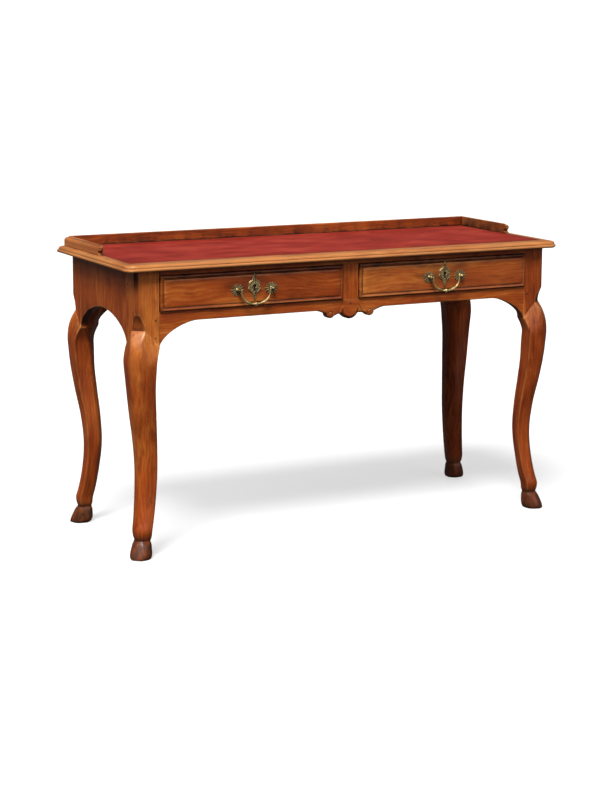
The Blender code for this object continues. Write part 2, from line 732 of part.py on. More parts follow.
def make_runners():
    """Runners, guides and kickers that carry and keep the drawers, and the screws of the top."""
    front = APRON_THICKNESS - FRAME_Y + JOINT_GAP
    back = APRON_INNER_Y - JOINT_GAP
    rail_back = TOP_RAIL_WIDTH - FRAME_Y + JOINT_GAP
    runner_low = SILL - RUNNER_DEPTH
    kicker_low = FRAME_HEIGHT - KICKER_DEPTH
    outer = INNER_X - JOINT_GAP
    inner = outer - RUNNER_WIDTH
    apron_face = FRAME_X - APRON_THICKNESS - JOINT_GAP
    leg_face = INNER_Y - JOINT_GAP
    guide_top = SILL + GUIDE_HEIGHT
    half = CENTRE_RUNNER_WIDTH / 2
    screws = []
    for side, right in (("left", -1), ("right", 1)):
        def strip(name, near, far, y_low, y_high, z_low, z_high):
            xs = sorted((right * near, right * far))
            mesh = box_mesh(((xs[0], y_low, z_low), (xs[1], y_high, z_high)))
            return add_part(name + "_" + side, mesh, OAK)

        strip("side_runner", inner, outer, front, back, runner_low, SILL)
        strip("side_guide", INNER_X, apron_face, -leg_face, leg_face, runner_low, guide_top)
        kicker = strip("kicker", inner, outer, rail_back, back, kicker_low, FRAME_HEIGHT)
        screws.append((kicker, right * (inner + outer) / 2))
    add_part("centre_runner", box_mesh(((-half, front, runner_low), (half, back, SILL))), OAK)
    guide = STILE_WIDTH / 2
    add_part("centre_guide", box_mesh(((-guide, front, SILL + JOINT_GAP), (guide, back, guide_top))), OAK)
    mesh = box_mesh(((-half, rail_back, kicker_low), (half, back, FRAME_HEIGHT)))
    screws.append((add_part("kicker_centre", mesh, OAK), 0.0))
    return [(kicker, [(x, y, kicker_low) for y in (rail_back + SCREW_SETBACK, back - SCREW_SETBACK)])
            for kicker, x in screws]


def screw_mesh(starts, turn, length, radius, head, sink):
    """Equal screws with round heads, each sunk a little into the face it clamps."""
    crown = head / 2
    profile = [(head - crown / 2, -crown), (head, -crown / 2), (head, sink), (radius, sink), (radius, length)]
    return turned_mesh(profile, [Matrix.Translation(start) @ turn for start in starts], SMALL_SIDES)


def nose_point(name, offset):
    """Corner of the top's outline, moved in from the nose by an offset."""
    x = TOP_LENGTH / 2 - offset
    y = TOP_DEPTH / 2 - offset
    clip = max(CORNER_CLIP - offset * (2 - math.sqrt(2)), 0.0)
    side = -1 if "left" in name else 1
    if "back" in name:
        return side * x, y
    reach = {"side": (0.0, clip), "clip": (clip / 2, clip / 2), "front": (clip, 0.0)}[name.split("_")[0]]
    return side * (x - reach[0]), -y + reach[1]


def edge_profile():
    """Moulded edge from the underside round the bead and up the ovolo: offset in, height."""
    points = []
    for a in np.radians(np.linspace(-90, BEAD_TURN, MOULDING_STEPS + 2)):
        points.append((BEAD_RADIUS * (1 - math.cos(a)), BEAD_RADIUS * (1 + math.sin(a))))
    foot_up = TOP_THICKNESS - MOULDING_QUIRK - OVOLO_RISE
    for a in np.radians(np.linspace(0, 90, MOULDING_STEPS)):
        points.append((OVOLO_SETBACK + OVOLO_REACH * (1 - math.cos(a)), foot_up + OVOLO_RISE * math.sin(a)))
    points.append((OVOLO_SETBACK + OVOLO_REACH + MOULDING_QUIRK / 2, TOP_THICKNESS))
    return points


def make_border(name, stations):
    """One member of the top's frame: the moulded edge carried from mitre to mitre."""
    rings = []
    for corner, inner, move in stations:
        ring = [nose_point(corner, offset) + (height,) for offset, height in edge_profile()]
        ring += [inner + (TOP_THICKNESS,), inner + (0.0,)]
        rings.append([(x + move[0], y + move[1], z) for x, y, z in ring])
    add_part(name, loft_mesh(rings), WALNUT, (0, 0, TOP_UNDER))


def make_top(screws):
    """Framed top: core board, four mitred members, the leather, and the screws from below."""
    in_x = TOP_LENGTH / 2 - BORDER_SIDE
    in_front = BORDER_FRONT - TOP_DEPTH / 2
    in_back = TOP_DEPTH / 2 - BORDER_SIDE
    gap = JOINT_GAP
    fl, fr, bl, br = (-in_x, in_front), (in_x, in_front), (-in_x, in_back), (in_x, in_back)
    rings = (("clip_left", fl, (gap, -gap)), ("front_left", fl, (gap, -gap)),
             ("front_right", fr, (-gap, -gap)), ("clip_right", fr, (-gap, -gap)))
    make_border("top_border_front", rings)
    rings = (("back_left", bl, (-gap, -gap)), ("side_left", fl, (-gap, gap)), ("clip_left", fl, (-gap, gap)))
    make_border("top_border_left", rings)
    rings = (("back_right", br, (gap, -gap)), ("side_right", fr, (gap, gap)), ("clip_right", fr, (gap, gap)))
    make_border("top_border_right", rings)
    make_border("top_border_back", (("back_left", bl, (gap, gap)), ("back_right", br, (-gap, gap))))
    core_top = TOP_THICKNESS - LEATHER_THICKNESS - gap
    place = (0, 0, TOP_UNDER)
    core = add_part("top_core", box_mesh(((-in_x, in_front, 0), (in_x, in_back, core_top))), OAK, place)
    sheet = box_mesh(((-in_x, in_front, core_top + gap), (in_x, in_back, TOP_THICKNESS)))
    add_part("leather_panel", sheet, LEATHER, place)
    # Screws go up through the kickers, one with them, into blind holes of the core
    holes = []
    for kicker, places in screws:
        screw = screw_mesh(places, Matrix(), SCREW_LENGTH, SCREW_RADIUS, SCREW_HEAD, SCREW_RADIUS)
        combine(kicker, screw, "UNION")
        holes += [(x, y, z - TOP_UNDER) for x, y, z in places]
    combine(core, round_mesh(holes, Matrix(), SCREW_LENGTH + gap, SCREW_RADIUS + gap, SMALL_SIDES))


def gallery_profile():
    """Gallery section: upright foot, ovolo leaning in, quirk and a small bead along the top."""
    bead_in = GALLERY_THICKNESS - GALLERY_BEAD
    bead_up = GALLERY_HEIGHT - GALLERY_BEAD
    reach = bead_in - GALLERY_BEAD - MOULDING_QUIRK
    rise = bead_up - GALLERY_WALL - MOULDING_QUIRK
    points = [(0.0, 0.0)]
    for a in np.radians(np.linspace(0, GALLERY_LEAN, MOULDING_STEPS)):
        points.append((reach * (1 - math.cos(a)), GALLERY_WALL + rise * math.sin(a)))
    points += arc((bead_in, bead_up), GALLERY_BEAD, 180, 0, MOULDING_STEPS)
    points.append((GALLERY_THICKNESS, 0.0))
    return points


def make_gallery():
    """Low three-quarter gallery: back and two returns, mitred behind, scrolled off in front."""
    x = TOP_LENGTH / 2 - BORDER_SIDE + GALLERY_THICKNESS
    y = TOP_DEPTH / 2 - BORDER_SIDE + GALLERY_THICKNESS
    base = TOP_SURFACE + JOINT_GAP
    profile = gallery_profile()
    gap = JOINT_GAP
    ends = [[(side * (x - gap - inset), y - inset, up) for inset, up in profile] for side in (-1, 1)]
    add_part("gallery_back", loft_mesh(ends), WALNUT, (0, 0, base))
    nose = GALLERY_HEIGHT - GALLERY_WALL
    scoop_up = GALLERY_HEIGHT - nose - GALLERY_BEAD
    for side, right in (("left", -1), ("right", 1)):
        back_ring = [(right * (x - inset), y - inset - gap * 2, up) for inset, up in profile]
        front_ring = [(right * (x - inset), GALLERY_FRONT_Y - GALLERY_SCOOP, up) for inset, up in profile]
        gallery = add_part("gallery_" + side, loft_mesh([back_ring, front_ring]), WALNUT, (0, 0, base))
        # Beaked end: a rounded nose over a scooped hollow
        far = GALLERY_FRONT_Y - 3 * GALLERY_SCOOP
        beak = arc((GALLERY_FRONT_Y + nose / 2, GALLERY_HEIGHT - nose / 2), nose / 2, 90, 250, MOULDING_STEPS)
        hollow = arc((GALLERY_FRONT_Y, scoop_up / 2), GALLERY_SCOOP, 60, -20, MOULDING_STEPS)
        outline = [(far, 2 * GALLERY_HEIGHT), (beak[0][0], 2 * GALLERY_HEIGHT)] + beak + hollow
        outline += [(hollow[-1][0], -GALLERY_BEAD), (far, -GALLERY_BEAD)]
        shift = Matrix.Translation((right * (x - GALLERY_THICKNESS / 2), 0, 0))
        combine(gallery, outline_mesh(outline, 2 * GALLERY_THICKNESS, shift @ ALONG))


def tails_outline(low, high, count, root, tip, past_root=0.0, past_tip=0.0, grow=0.0):
    """Dovetail tails along a board's end, four points each, from the root line to the tip.

    Their flanks can run on past both lines and stand wider, which gives the sockets.
    """
    pitch = (high - low) / count
    slope = TAIL_SPLAY / abs(tip - root)
    toward = math.copysign(1.0, tip - root)
    first = root - toward * past_root
    last = tip + toward * past_tip
    wide = pitch * TAIL_SHARE / 2 + slope * past_tip + grow
    narrow = pitch * TAIL_SHARE / 2 - TAIL_SPLAY - slope * past_root + grow
    points = []
    for i in range(count):
        middle = low + pitch * (i + 0.5)
        points += [(first, middle - narrow), (last, middle - wide)]
        points += [(last, middle + wide), (first, middle + narrow)]
    return points


def tail_sockets(tails, past_tip, x_low, x_high):
    """Cutters for the sockets that a row of tails drops into, opened by the joint gap."""
    points = tails_outline(*tails, past_root=GROOVE_DEPTH, past_tip=past_tip, grow=JOINT_GAP)
    body = bmesh.new()
    for i in range(0, len(points), 4):
        add_prism(body, points[i:i + 4], x_low, x_high)
    bmesh.ops.transform(body, matrix=ALONG, verts=body.verts)
    return to_mesh(body)


def lock_middle():
    """Depth of the middle of the lock's bolt behind the frame's face."""
    return FRONT_THICKNESS - LOCK_DEPTH / 2


def front_moulding():
    """Steps of the moulded edge of a drawer front: inset and rise of each step."""
    points = []
    for a in np.radians(np.linspace(0, 90, MOULDING_STEPS)):
        points.append((FRONT_OVOLO * (1 - math.cos(a)), FRONT_OVOLO * math.sin(a)))
    points.append((points[-1][0] + FRONT_FILLET, points[-1][1] - FRONT_FILLET))
    points.append((points[-1][0] + FRONT_COVE_WIDTH, points[-1][1] - FRONT_COVE_DEPTH))
    points.append((points[-1][0] + FIELD_STEP, points[-1][1] + FIELD_RISE))
    return [(q[0] - p[0], q[1] - p[1]) for p, q in zip(points, points[1:])]


def keyhole_mesh(depth):
    """Cutter for a keyhole: a round hole over a tapering slot, running along Y."""
    round_part = arc((0.0, 0.0), KEYHOLE_RADIUS, -60, 240)
    wide = KEYHOLE_SLOT_WIDTH / 2
    outline = round_part + [(-wide, -KEYHOLE_SLOT), (wide, -KEYHOLE_SLOT)]
    return outline_mesh(outline, depth, Matrix.Translation((0, 0, KEYHOLE_HEIGHT)) @ ACROSS)


def plate_outline():
    """Escutcheon outline: a waved oval body with a spire above and a drop below."""
    points = []
    for angle in np.linspace(0, 2 * math.pi, PLATE_STEPS, endpoint=False):
        wave = PLATE_LOBE * math.cos(PLATE_LOBES * angle)
        across = (PLATE_HALF_WIDTH + wave) * math.sin(angle)
        up = (PLATE_BODY + wave) * math.cos(angle)
        points.append((across, up))
    neck = PLATE_NECK
    spire = [(-neck, PLATE_BODY + neck), (0.0, PLATE_SPIRE), (neck, PLATE_BODY + neck)]
    drop = [(neck, -PLATE_BODY - neck), (0.0, -PLATE_DROP), (-neck, -PLATE_BODY - neck)]
    right = [p for p in points if p[0] > neck]
    left = [p for p in points if p[0] < -neck]
    return spire + right + drop + left


def rosette_outline():
    """Leafy rosette: a circle waved by its lobes."""
    points = []
    for angle in np.linspace(0, 2 * math.pi, ROSETTE_LOBES * 4, endpoint=False):
        r = ROSETTE_RADIUS + ROSETTE_LOBE * math.cos(ROSETTE_LOBES * angle)
        points.append((r * math.cos(angle), r * math.sin(angle)))
    return points


def bail_path():
    """Bail from pin to pin: out of one post, round a low U and into the other, with wire radii."""
    half = POST_SPREAD / 2
    inner = half - POST_HEAD - BAIL_RADIUS - PIN_GAP
    points = [(-half - POST_HEAD / 2, 0.0, BAIL_PIN), (-half + POST_HEAD + PIN_GAP, 0.0, BAIL_PIN)]
    for s in np.linspace(0, 1, BAIL_STEPS):
        angle = math.pi * s
        across = -inner * math.cos(angle) * (1 + BAIL_BELLY * math.sin(angle) ** 2)
        down = -BAIL_DROP * math.sin(angle) ** BAIL_POWER
        swell = BAIL_SWELL * math.exp(-((abs(s - 0.5) - BAIL_SWELL_AT) / BAIL_SWELL_RUN) ** 2)
        knop = (BAIL_KNOP - BAIL_RADIUS) * math.exp(-((s - 0.5) / BAIL_KNOP_RUN) ** 2)
        points.append((across, down, BAIL_RADIUS + swell + knop))
    points += [(-u, v, r) for u, v, r in reversed(points[:2])]
    return points


def make_bail(name, parent):
    """Swinging bail handle as one tube of varying radius."""
    curve = bpy.data.curves.new(name, "CURVE")
    curve.dimensions = "3D"
    curve.bevel_depth = 1.0
    curve.bevel_resolution = 1
    curve.use_fill_caps = True
    path = bail_path()
    spline = curve.splines.new("POLY")
    spline.points.add(len(path) - 1)
    for knot, (u, v, r) in zip(spline.points, path):
        knot.co = (u, 0.0, v, 1.0)
        knot.radius = r
    return add_part(name, smooth_shade(curve_mesh(curve)), BRASS, parent=parent)


def make_drawer(side, right):
    """One drawer with its lock and brass mounts, in the drawer's own frame.

    The drawer's origin is at the middle of its opening, on the sill and in the frame's face.
    """
    slide = add_empty(side + "_drawer_slide", (right * DRAWER_CENTRE, -FRAME_Y, SILL))
    name = side + "_drawer_"
    half = DRAWER_WIDTH / 2
    low = JOINT_GAP
    inside = FRONT_THICKNESS
    back_face = DRAWER_LENGTH
    side_top = SIDE_HEIGHT
    groove_low = BOTTOM_LIFT
    groove_high = BOTTOM_LIFT + BOTTOM_THICKNESS + 2 * JOINT_GAP

    # Front with its moulded edge, raised step by step from a plain board
    body = bmesh.new()
    add_box(body, (-half, -FRONT_PROUD, low), (half, inside, low + DRAWER_HEIGHT))
    body.normal_update()
    face = min(body.faces, key=lambda f: f.calc_center_median().y)
    for width, rise in front_moulding():
        bmesh.ops.inset_region(body, faces=[face], thickness=width, depth=rise, use_even_offset=True)
    front = add_part(name + "front", to_mesh(body), WALNUT, parent=slide)

    # Sides with half-blind tails in front and through tails behind
    tail_tip = DOVETAIL_LAP + JOINT_GAP
    back_low = groove_high + JOINT_GAP
    front_root = inside + JOINT_GAP
    back_root = back_face - BACK_THICKNESS - JOINT_GAP
    ahead = (low, side_top, FRONT_TAIL_COUNT, front_root, tail_tip)
    behind = (back_low, side_top, BACK_TAIL_COUNT, back_root, back_face)
    outline = [(front_root, low)] + tails_outline(*ahead) + [(front_root, side_top), (back_root, side_top)]
    outline += list(reversed(tails_outline(*behind)))
    foot = back_low - JOINT_GAP
    outline += [(back_root, foot), (back_face, foot), (back_face, low)]
    for hand, sign in (("left", -1), ("right", 1)):
        middle = sign * (half - SIDE_THICKNESS / 2)
        board = outline_mesh(outline, SIDE_THICKNESS, Matrix.Translation((middle, 0, 0)) @ ALONG)
        part = add_part(name + "side_" + hand, board, OAK, parent=slide)
        inner = sign * (half - SIDE_THICKNESS)
        xs = sorted((inner - sign * GROOVE_DEPTH, inner + sign * GROOVE_DEPTH))
        start = inside - GROOVE_DEPTH
        combine(part, box_mesh(((xs[0], start, groove_low), (xs[1], back_face + GROOVE_DEPTH, groove_high))))
        outer = sign * (half + GROOVE_DEPTH)
        xs = sorted((inner - sign * JOINT_GAP, outer))
        combine(front, tail_sockets(ahead, JOINT_GAP, *xs))

    # Back board let over the tails, and the bottom slid in below it
    back_box = ((-half, back_face - BACK_THICKNESS, back_low), (half, back_face, side_top))
    back = add_part(name + "back", box_mesh(back_box), OAK, parent=slide)
    for sign in (-1, 1):
        xs = sorted((sign * (half - SIDE_THICKNESS - JOINT_GAP), sign * (half + GROOVE_DEPTH)))
        combine(back, tail_sockets(behind, GROOVE_DEPTH, *xs))
    wide = half - SIDE_THICKNESS
    slot = wide + GROOVE_DEPTH
    groove = inside - GROOVE_DEPTH
    combine(front, box_mesh(((-slot, groove, groove_low), (slot, inside + GROOVE_DEPTH, groove_high))))
    panel = slot - JOINT_GAP
    low_corner = (-panel, groove + JOINT_GAP, groove_low + JOINT_GAP)
    bottom = box_mesh((low_corner, (panel, back_face, groove_high - JOINT_GAP)))
    add_part(name + "bottom", bottom, OAK, parent=slide)

    make_lock(side, slide, front)
    make_mounts(side, slide, front)


def make_lock(side, slide, front):
    """Half-mortise lock let into the back of a drawer front, its bolt and its screws."""
    top = JOINT_GAP + DRAWER_HEIGHT
    half = LOCK_WIDTH / 2
    inside = FRONT_THICKNESS
    pocket = inside - LOCK_DEPTH
    gap = JOINT_GAP
    case_low = top - LOCK_HEIGHT
    room = ((-half - gap, pocket - gap, case_low - gap), (half + gap, inside + LOCK_DEPTH, top + LOCK_DEPTH))
    combine(front, box_mesh(room))
    block = box_mesh(((-half, pocket, case_low), (half, inside + gap * 2, top)))
    case = add_part(side + "_lock_case", block, IRON, parent=slide)
    margin = half + LOCK_PLATE_MARGIN
    plate_low = case_low - LOCK_PLATE_MARGIN
    plate_high = inside + gap + LOCK_PLATE_THICKNESS
    combine(case, box_mesh(((-margin, inside + gap, plate_low), (margin, plate_high, top - gap))), "UNION")
    wide = BOLT_WIDTH / 2 + BOLT_GAP
    thick = BOLT_THICKNESS / 2 + BOLT_GAP
    seat = top - BOLT_HEIGHT
    middle = lock_middle()
    way = ((-wide, middle - thick, seat - BOLT_GAP), (wide, middle + thick, top + LOCK_DEPTH))
    combine(case, box_mesh(way))
    size = np.array((BOLT_WIDTH, BOLT_THICKNESS, BOLT_HEIGHT))
    bolt = box_mesh((-size / 2, size / 2))
    add_part(side + "_lock_bolt", bolt, IRON, (0, middle, seat + BOLT_HEIGHT / 2), slide)
    reach = 2 * (FIELD_PROUD + pocket + LOCK_DEPTH / 4)
    combine(front, keyhole_mesh(reach))
    combine(case, keyhole_mesh(reach))
    inset = LOCK_PLATE_MARGIN / 2
    rows = (plate_low + inset, top - LOCK_PLATE_MARGIN)
    starts = [(sign * (half + inset), plate_high, z) for sign in (-1, 1) for z in rows]
    out = Matrix.Rotation(math.pi / 2, 4, "X")
    sink = LOCK_PLATE_THICKNESS / 2
    screws = screw_mesh(starts, out, LOCK_SCREW_LENGTH, LOCK_SCREW_RADIUS, LOCK_SCREW_HEAD, sink)
    combine(case, screws, "UNION")
    combine(front, round_mesh(starts, out, LOCK_SCREW_LENGTH + gap, LOCK_SCREW_RADIUS + gap, SMALL_SIDES))


def make_mounts(side, slide, front):
    """Escutcheon with its pins, then the pull: rosettes, posts, nuts and the bail."""
    gap = JOINT_GAP
    plate_back = -FIELD_PROUD - gap
    plate_front = plate_back - PLATE_THICKNESS
    place = Matrix.Translation((0, plate_back - PLATE_THICKNESS / 2, KEYHOLE_HEIGHT)) @ ACROSS
    sheet = outline_mesh(plate_outline(), PLATE_THICKNESS, place)
    plate = add_part(side + "_escutcheon", sheet, BRASS, parent=slide)
    combine(plate, keyhole_mesh(2 * (FIELD_PROUD + FRONT_THICKNESS)))
    rows = (KEYHOLE_HEIGHT + PLATE_PIN_UP, KEYHOLE_HEIGHT - PLATE_PIN_DOWN)
    starts = [(0, plate_front, z) for z in rows]
    sink = PLATE_THICKNESS / 2
    pins = screw_mesh(starts, TO_Y, PLATE_PIN_LENGTH, PLATE_PIN_RADIUS, PLATE_PIN_HEAD, sink)
    combine(plate, pins, "UNION")
    combine(front, round_mesh(starts, TO_Y, PLATE_PIN_LENGTH + gap, PLATE_PIN_RADIUS + gap, SMALL_SIDES))
    for hand, sign in (("left", -1), ("right", 1)):
        make_post(side + "_pull", hand, sign * POST_SPREAD / 2, slide, front)
    hinge = add_empty(side + "_bail_hinge", (0, POST_AXIS_Y, PULL_HEIGHT), slide)
    make_bail(side + "_bail", hinge)


def make_post(name, hand, x, slide, front):
    """One end of a pull: a leafy rosette, the post through it and the nut behind the front."""
    gap = JOINT_GAP
    back = -FIELD_PROUD - gap
    place = Matrix.Translation((x, back - ROSETTE_THICKNESS / 2, PULL_HEIGHT)) @ ACROSS
    leaf = outline_mesh(rosette_outline(), ROSETTE_THICKNESS, place)
    rosette = add_part(name + "_rosette_" + hand, leaf, BRASS, parent=slide)
    bore_start = (x, POST_AXIS_Y, PULL_HEIGHT)
    bore_length = POST_REACH + FIELD_PROUD + FRONT_THICKNESS + 2 * NUT_THICKNESS
    bore = round_mesh([bore_start], TO_Y, bore_length, POST_RADIUS + gap)
    combine(rosette, bore)
    combine(front, bore.copy())

    # Post: drilled head, neck, collar on the rosette and a shank through the front
    collar = ROSETTE_THICKNESS + 2 * gap
    tail = FRONT_THICKNESS + FIELD_PROUD + NUT_THICKNESS + 4 * gap
    reach = POST_REACH
    head = POST_HEAD
    profile = [(v, -u - reach) for u, v in arc((0.0, 0.0), head, 20, 150, MOULDING_STEPS)]
    neck = collar + POST_COLLAR_THICKNESS
    profile += [(POST_RADIUS, -neck), (POST_COLLAR, -neck + POST_COLLAR_THICKNESS / 2),
                (POST_COLLAR, -collar), (POST_RADIUS, -collar), (POST_RADIUS, tail)]
    face = Matrix.Translation((x, -FIELD_PROUD, PULL_HEIGHT)) @ TO_Y
    post = add_part(name + "_post_" + hand, smooth_shade(turned_mesh(profile, [face])), BRASS, parent=slide)
    start = (x - head * 2, POST_AXIS_Y, PULL_HEIGHT)
    combine(post, round_mesh([start], TO_X, head * 4, BAIL_PIN + PIN_GAP, SMALL_SIDES))
    wide = NUT_WIDTH / 2
    near = FRONT_THICKNESS + gap
    far = near + NUT_THICKNESS
    block = box_mesh(((x - wide, near, PULL_HEIGHT - wide), (x + wide, far, PULL_HEIGHT + wide)))
    nut = add_part(name + "_nut_" + hand, block, IRON, parent=slide)
    combine(nut, bore.copy())


def build_table():
    """Whole table, from the floor up."""
    for side, right in (("left", -1), ("right", 1)):
        make_leg("leg_front_" + side, right, -1)
        make_leg("leg_back_" + side, right, 1)
    make_aprons()
    make_top_rail()
    make_stile()
    make_top(make_runners())
    make_gallery()
    for side, right in (("left", -1), ("right", 1)):
        make_drawer(side, right)


build_table()
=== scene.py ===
"""Walnut writing table with a leather top, dressed piece by piece over its CAD frame."""

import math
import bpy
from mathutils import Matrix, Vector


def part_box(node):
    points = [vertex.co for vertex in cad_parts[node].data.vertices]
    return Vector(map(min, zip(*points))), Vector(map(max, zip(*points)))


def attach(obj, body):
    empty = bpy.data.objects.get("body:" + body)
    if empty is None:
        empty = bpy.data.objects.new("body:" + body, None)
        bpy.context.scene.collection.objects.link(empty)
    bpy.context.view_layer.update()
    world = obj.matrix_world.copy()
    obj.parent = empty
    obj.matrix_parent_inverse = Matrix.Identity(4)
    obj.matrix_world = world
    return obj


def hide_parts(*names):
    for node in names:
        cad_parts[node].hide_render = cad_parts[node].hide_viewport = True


bl_info = {
    "name": "Writing table",
    "version": (1, 0, 0),
    "blender": (4, 5, 0),
    "location": "View3D > Sidebar > Table",
    "description": "Builds a walnut writing table with cabriole legs, two drawers and brass pulls",
    "category": "Object",
}

import bmesh
import bpy
import numpy as np
from mathutils import Matrix

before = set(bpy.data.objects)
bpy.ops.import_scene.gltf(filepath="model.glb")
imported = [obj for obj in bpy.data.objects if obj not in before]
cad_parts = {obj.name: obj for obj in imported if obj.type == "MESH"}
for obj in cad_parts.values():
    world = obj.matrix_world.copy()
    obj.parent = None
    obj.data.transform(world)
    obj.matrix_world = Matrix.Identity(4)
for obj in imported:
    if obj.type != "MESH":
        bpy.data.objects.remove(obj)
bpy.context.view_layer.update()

# Planes that the CAD frame gives
FACE_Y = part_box("centre_stile")[0][1]
SIDE_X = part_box("side_apron_right")[1][0]
FRAME_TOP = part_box("back_apron")[1][2]
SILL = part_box("front_apron_rail")[1][2]
TOP_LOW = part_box("top_border_front")[0][2]
TOP_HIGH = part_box("top_border_front")[1][2]
DRAWER_X = sum(corner[0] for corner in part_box("right_drawer_bottom")) / 2

TURN = 2 * math.pi
QUARTER = math.pi / 2
ROOT2 = math.sqrt(2)
SIDES = (("left", -1), ("right", 1))
# Gap between pieces that seat on each other
GAP = 0.0003


# Settings

def linear(code):
    """Scene-linear red, green and blue of an sRGB colour written as #RRGGBB."""
    parts = np.array([int(code[i:i + 2], 16) for i in (1, 3, 5)]) / 255
    return tuple(np.where(parts <= 0.04045, parts / 12.92, ((parts + 0.055) / 1.055) ** 2.4).tolist())


def length(name, description, default):
    """Length setting in metres."""
    return bpy.props.FloatProperty(name=name, description=description, default=default, min=0.0, precision=4,
                                   subtype="DISTANCE", unit="LENGTH")


def tint(name, description, code):
    """Colour setting, its default written as an sRGB code."""
    return bpy.props.FloatVectorProperty(name=name, description=description, default=linear(code), size=3,
                                         min=0.0, max=1.0, subtype="COLOR")


class LegSizes(bpy.types.PropertyGroup):
    """Sizes of a cabriole leg; drops are measured down from the top of its block."""

    block: length("Block", "Width of the square block at the top", 0.062)
    chamfer: length("Canted corner", "Cut off the block's outer corner", 0.009)
    hollow_drop: length("Hollow", "Drop to the start of the hollow in the corner", 0.108)
    crease_drop: length("Crease", "Drop to the crease at the corner", 0.147)
    crease_end: length("Crease end", "Drop to the crease at the inner edge", 0.187)
    arch_foot: length("Arch foot", "Drop to the foot of the arches", 0.190)
    knee_drop: length("Knee", "Drop to the widest part of the knee", 0.235)
    hollow_facet: length("Hollow facet", "Cut off the corner at the bottom of the hollow", 0.0255)
    knee_facet: length("Knee facet", "Cut off the corner at the knee", 0.016)
    heel_cut: length("Heel cut", "Widest cut across the inner corner", 0.030)
    neck: length("Neck", "Height of the neck above the hoof", 0.045)
    sole: length("Sole", "Height of the lowest ring over the floor", 0.0006)
    sole_round: length("Sole edge", "Height over which the sole is rounded", 0.020)


class FrameSizes(bpy.types.PropertyGroup):
    """Sizes of the rails under the top and of the scalloped middle."""

    apron: length("Apron", "Thickness of rails and aprons", 0.022)
    rail: length("Front rail", "Depth of the front rail between its arches", 0.025)
    arch_run: length("Arch run", "Length of the arch beside a leg", 0.103)
    side_rise: length("Side arch", "Rise of the arch under a side", 0.070)
    side_foot: length("Side arch foot", "Height of a side arch's foot over the front ones", 0.005)
    edge: length("Lower edge", "Radius of the lower edges", 0.0014)
    tongue: length("Tongue", "Radius of the tongue in the middle", 0.026)
    tongue_half: length("Tongue width", "Half width of the tongue", 0.0235)
    cusp_out: length("Cusp", "Distance of the cusp from the middle", 0.0365)
    cusp_drop: length("Cusp drop", "Drop of the cusp under the rail", 0.0118)
    scroll_out: length("Scroll", "Distance of the scroll from the middle", 0.0575)
    scroll: length("Scroll radius", "Radius of the scroll", 0.0118)
    scroll_drop: length("Scroll drop", "Drop of the scroll under the rail", 0.0215)
    ogee_out: length("Ogee", "Distance of the ogee's end from the middle", 0.101)
    peg: length("Peg", "Radius of the pegs", 0.0033)
    peg_in: length("Peg inset", "Distance of the pegs from a tenon's shoulder", 0.0105)
    peg_end: length("Peg height", "Distance of the pegs from a tenon's ends", 0.014)


class TopSizes(bpy.types.PropertyGroup):
    """Sizes of the framed top and the gallery on it."""

    long: length("Length", "Length of the top", 1.250)
    deep: length("Depth", "Depth of the top", 0.478)
    clip: length("Clipped corner", "Cut off each front corner", 0.0135)
    border_front: length("Front member", "Width of the front member", 0.046)
    border_side: length("Side member", "Width of the side and back members", 0.028)
    bead: length("Bead", "Radius of the lower bead", 0.0046)
    ovolo_back: length("Ovolo setback", "Distance of the ovolo behind the bead", 0.0034)
    ovolo_reach: length("Ovolo reach", "Width of the ovolo", 0.0072)
    ovolo_rise: length("Ovolo rise", "Height of the ovolo", 0.0066)
    fillet: length("Fillet", "Height of the fillet over the ovolo", 0.0009)
    leather: length("Leather", "Thickness of the leather", 0.0014)
    gallery: length("Gallery", "Thickness of the gallery", 0.013)
    gallery_high: length("Gallery height", "Height of the gallery", 0.026)
    gallery_wall: length("Gallery wall", "Height of its upright foot", 0.0135)
    gallery_bead: length("Gallery bead", "Radius of the bead along it", 0.0021)
    gallery_front: bpy.props.FloatProperty(name="Gallery end", description="Place of its front ends",
                                           default=-0.018, precision=4, unit="LENGTH")


class DrawerSizes(bpy.types.PropertyGroup):
    """Sizes of the drawer fronts and their brass."""

    wide: length("Width", "Width of a front", 0.508)
    high: length("Height", "Height of a front", 0.0897)
    thick: length("Thickness", "Thickness behind the frame's face", 0.022)
    lap: length("Lap", "Wood left in front of the dovetails", 0.006)
    side: length("Side", "Thickness of a drawer side", 0.011)
    side_high: length("Side height", "Height of a drawer side's top over the sill", 0.078)
    ovolo: length("Ovolo", "Radius of the edge moulding", 0.005)
    cove: length("Cove", "Width of the cove inside it", 0.0045)
    field: length("Field", "Height of the field over the frame's face", 0.0055)
    lock_wide: length("Lock width", "Width of the lock's pocket", 0.048)
    lock_high: length("Lock height", "Height of the lock's pocket", 0.046)
    lock_deep: length("Lock depth", "Depth of the lock's pocket", 0.009)
    key_up: length("Keyhole", "Height of the keyhole over the sill", 0.051)
    pull_up: length("Pull", "Height of the posts over the sill", 0.044)
    spread: length("Spread", "Distance between the posts", 0.094)
    reach: length("Post reach", "Distance of the bail's axis from the field", 0.0115)
    post: length("Post head", "Radius of a post's head", 0.0046)
    bail_drop: length("Bail drop", "Drop of the bail", 0.037)
    bail: length("Bail wire", "Radius of the bail near the posts", 0.0021)
    bail_pin: length("Bail pin", "Radius of the bail's pins", 0.0014)
    bail_ball: length("Bail ball", "Radius of the ball in the middle of the bail", 0.0054)


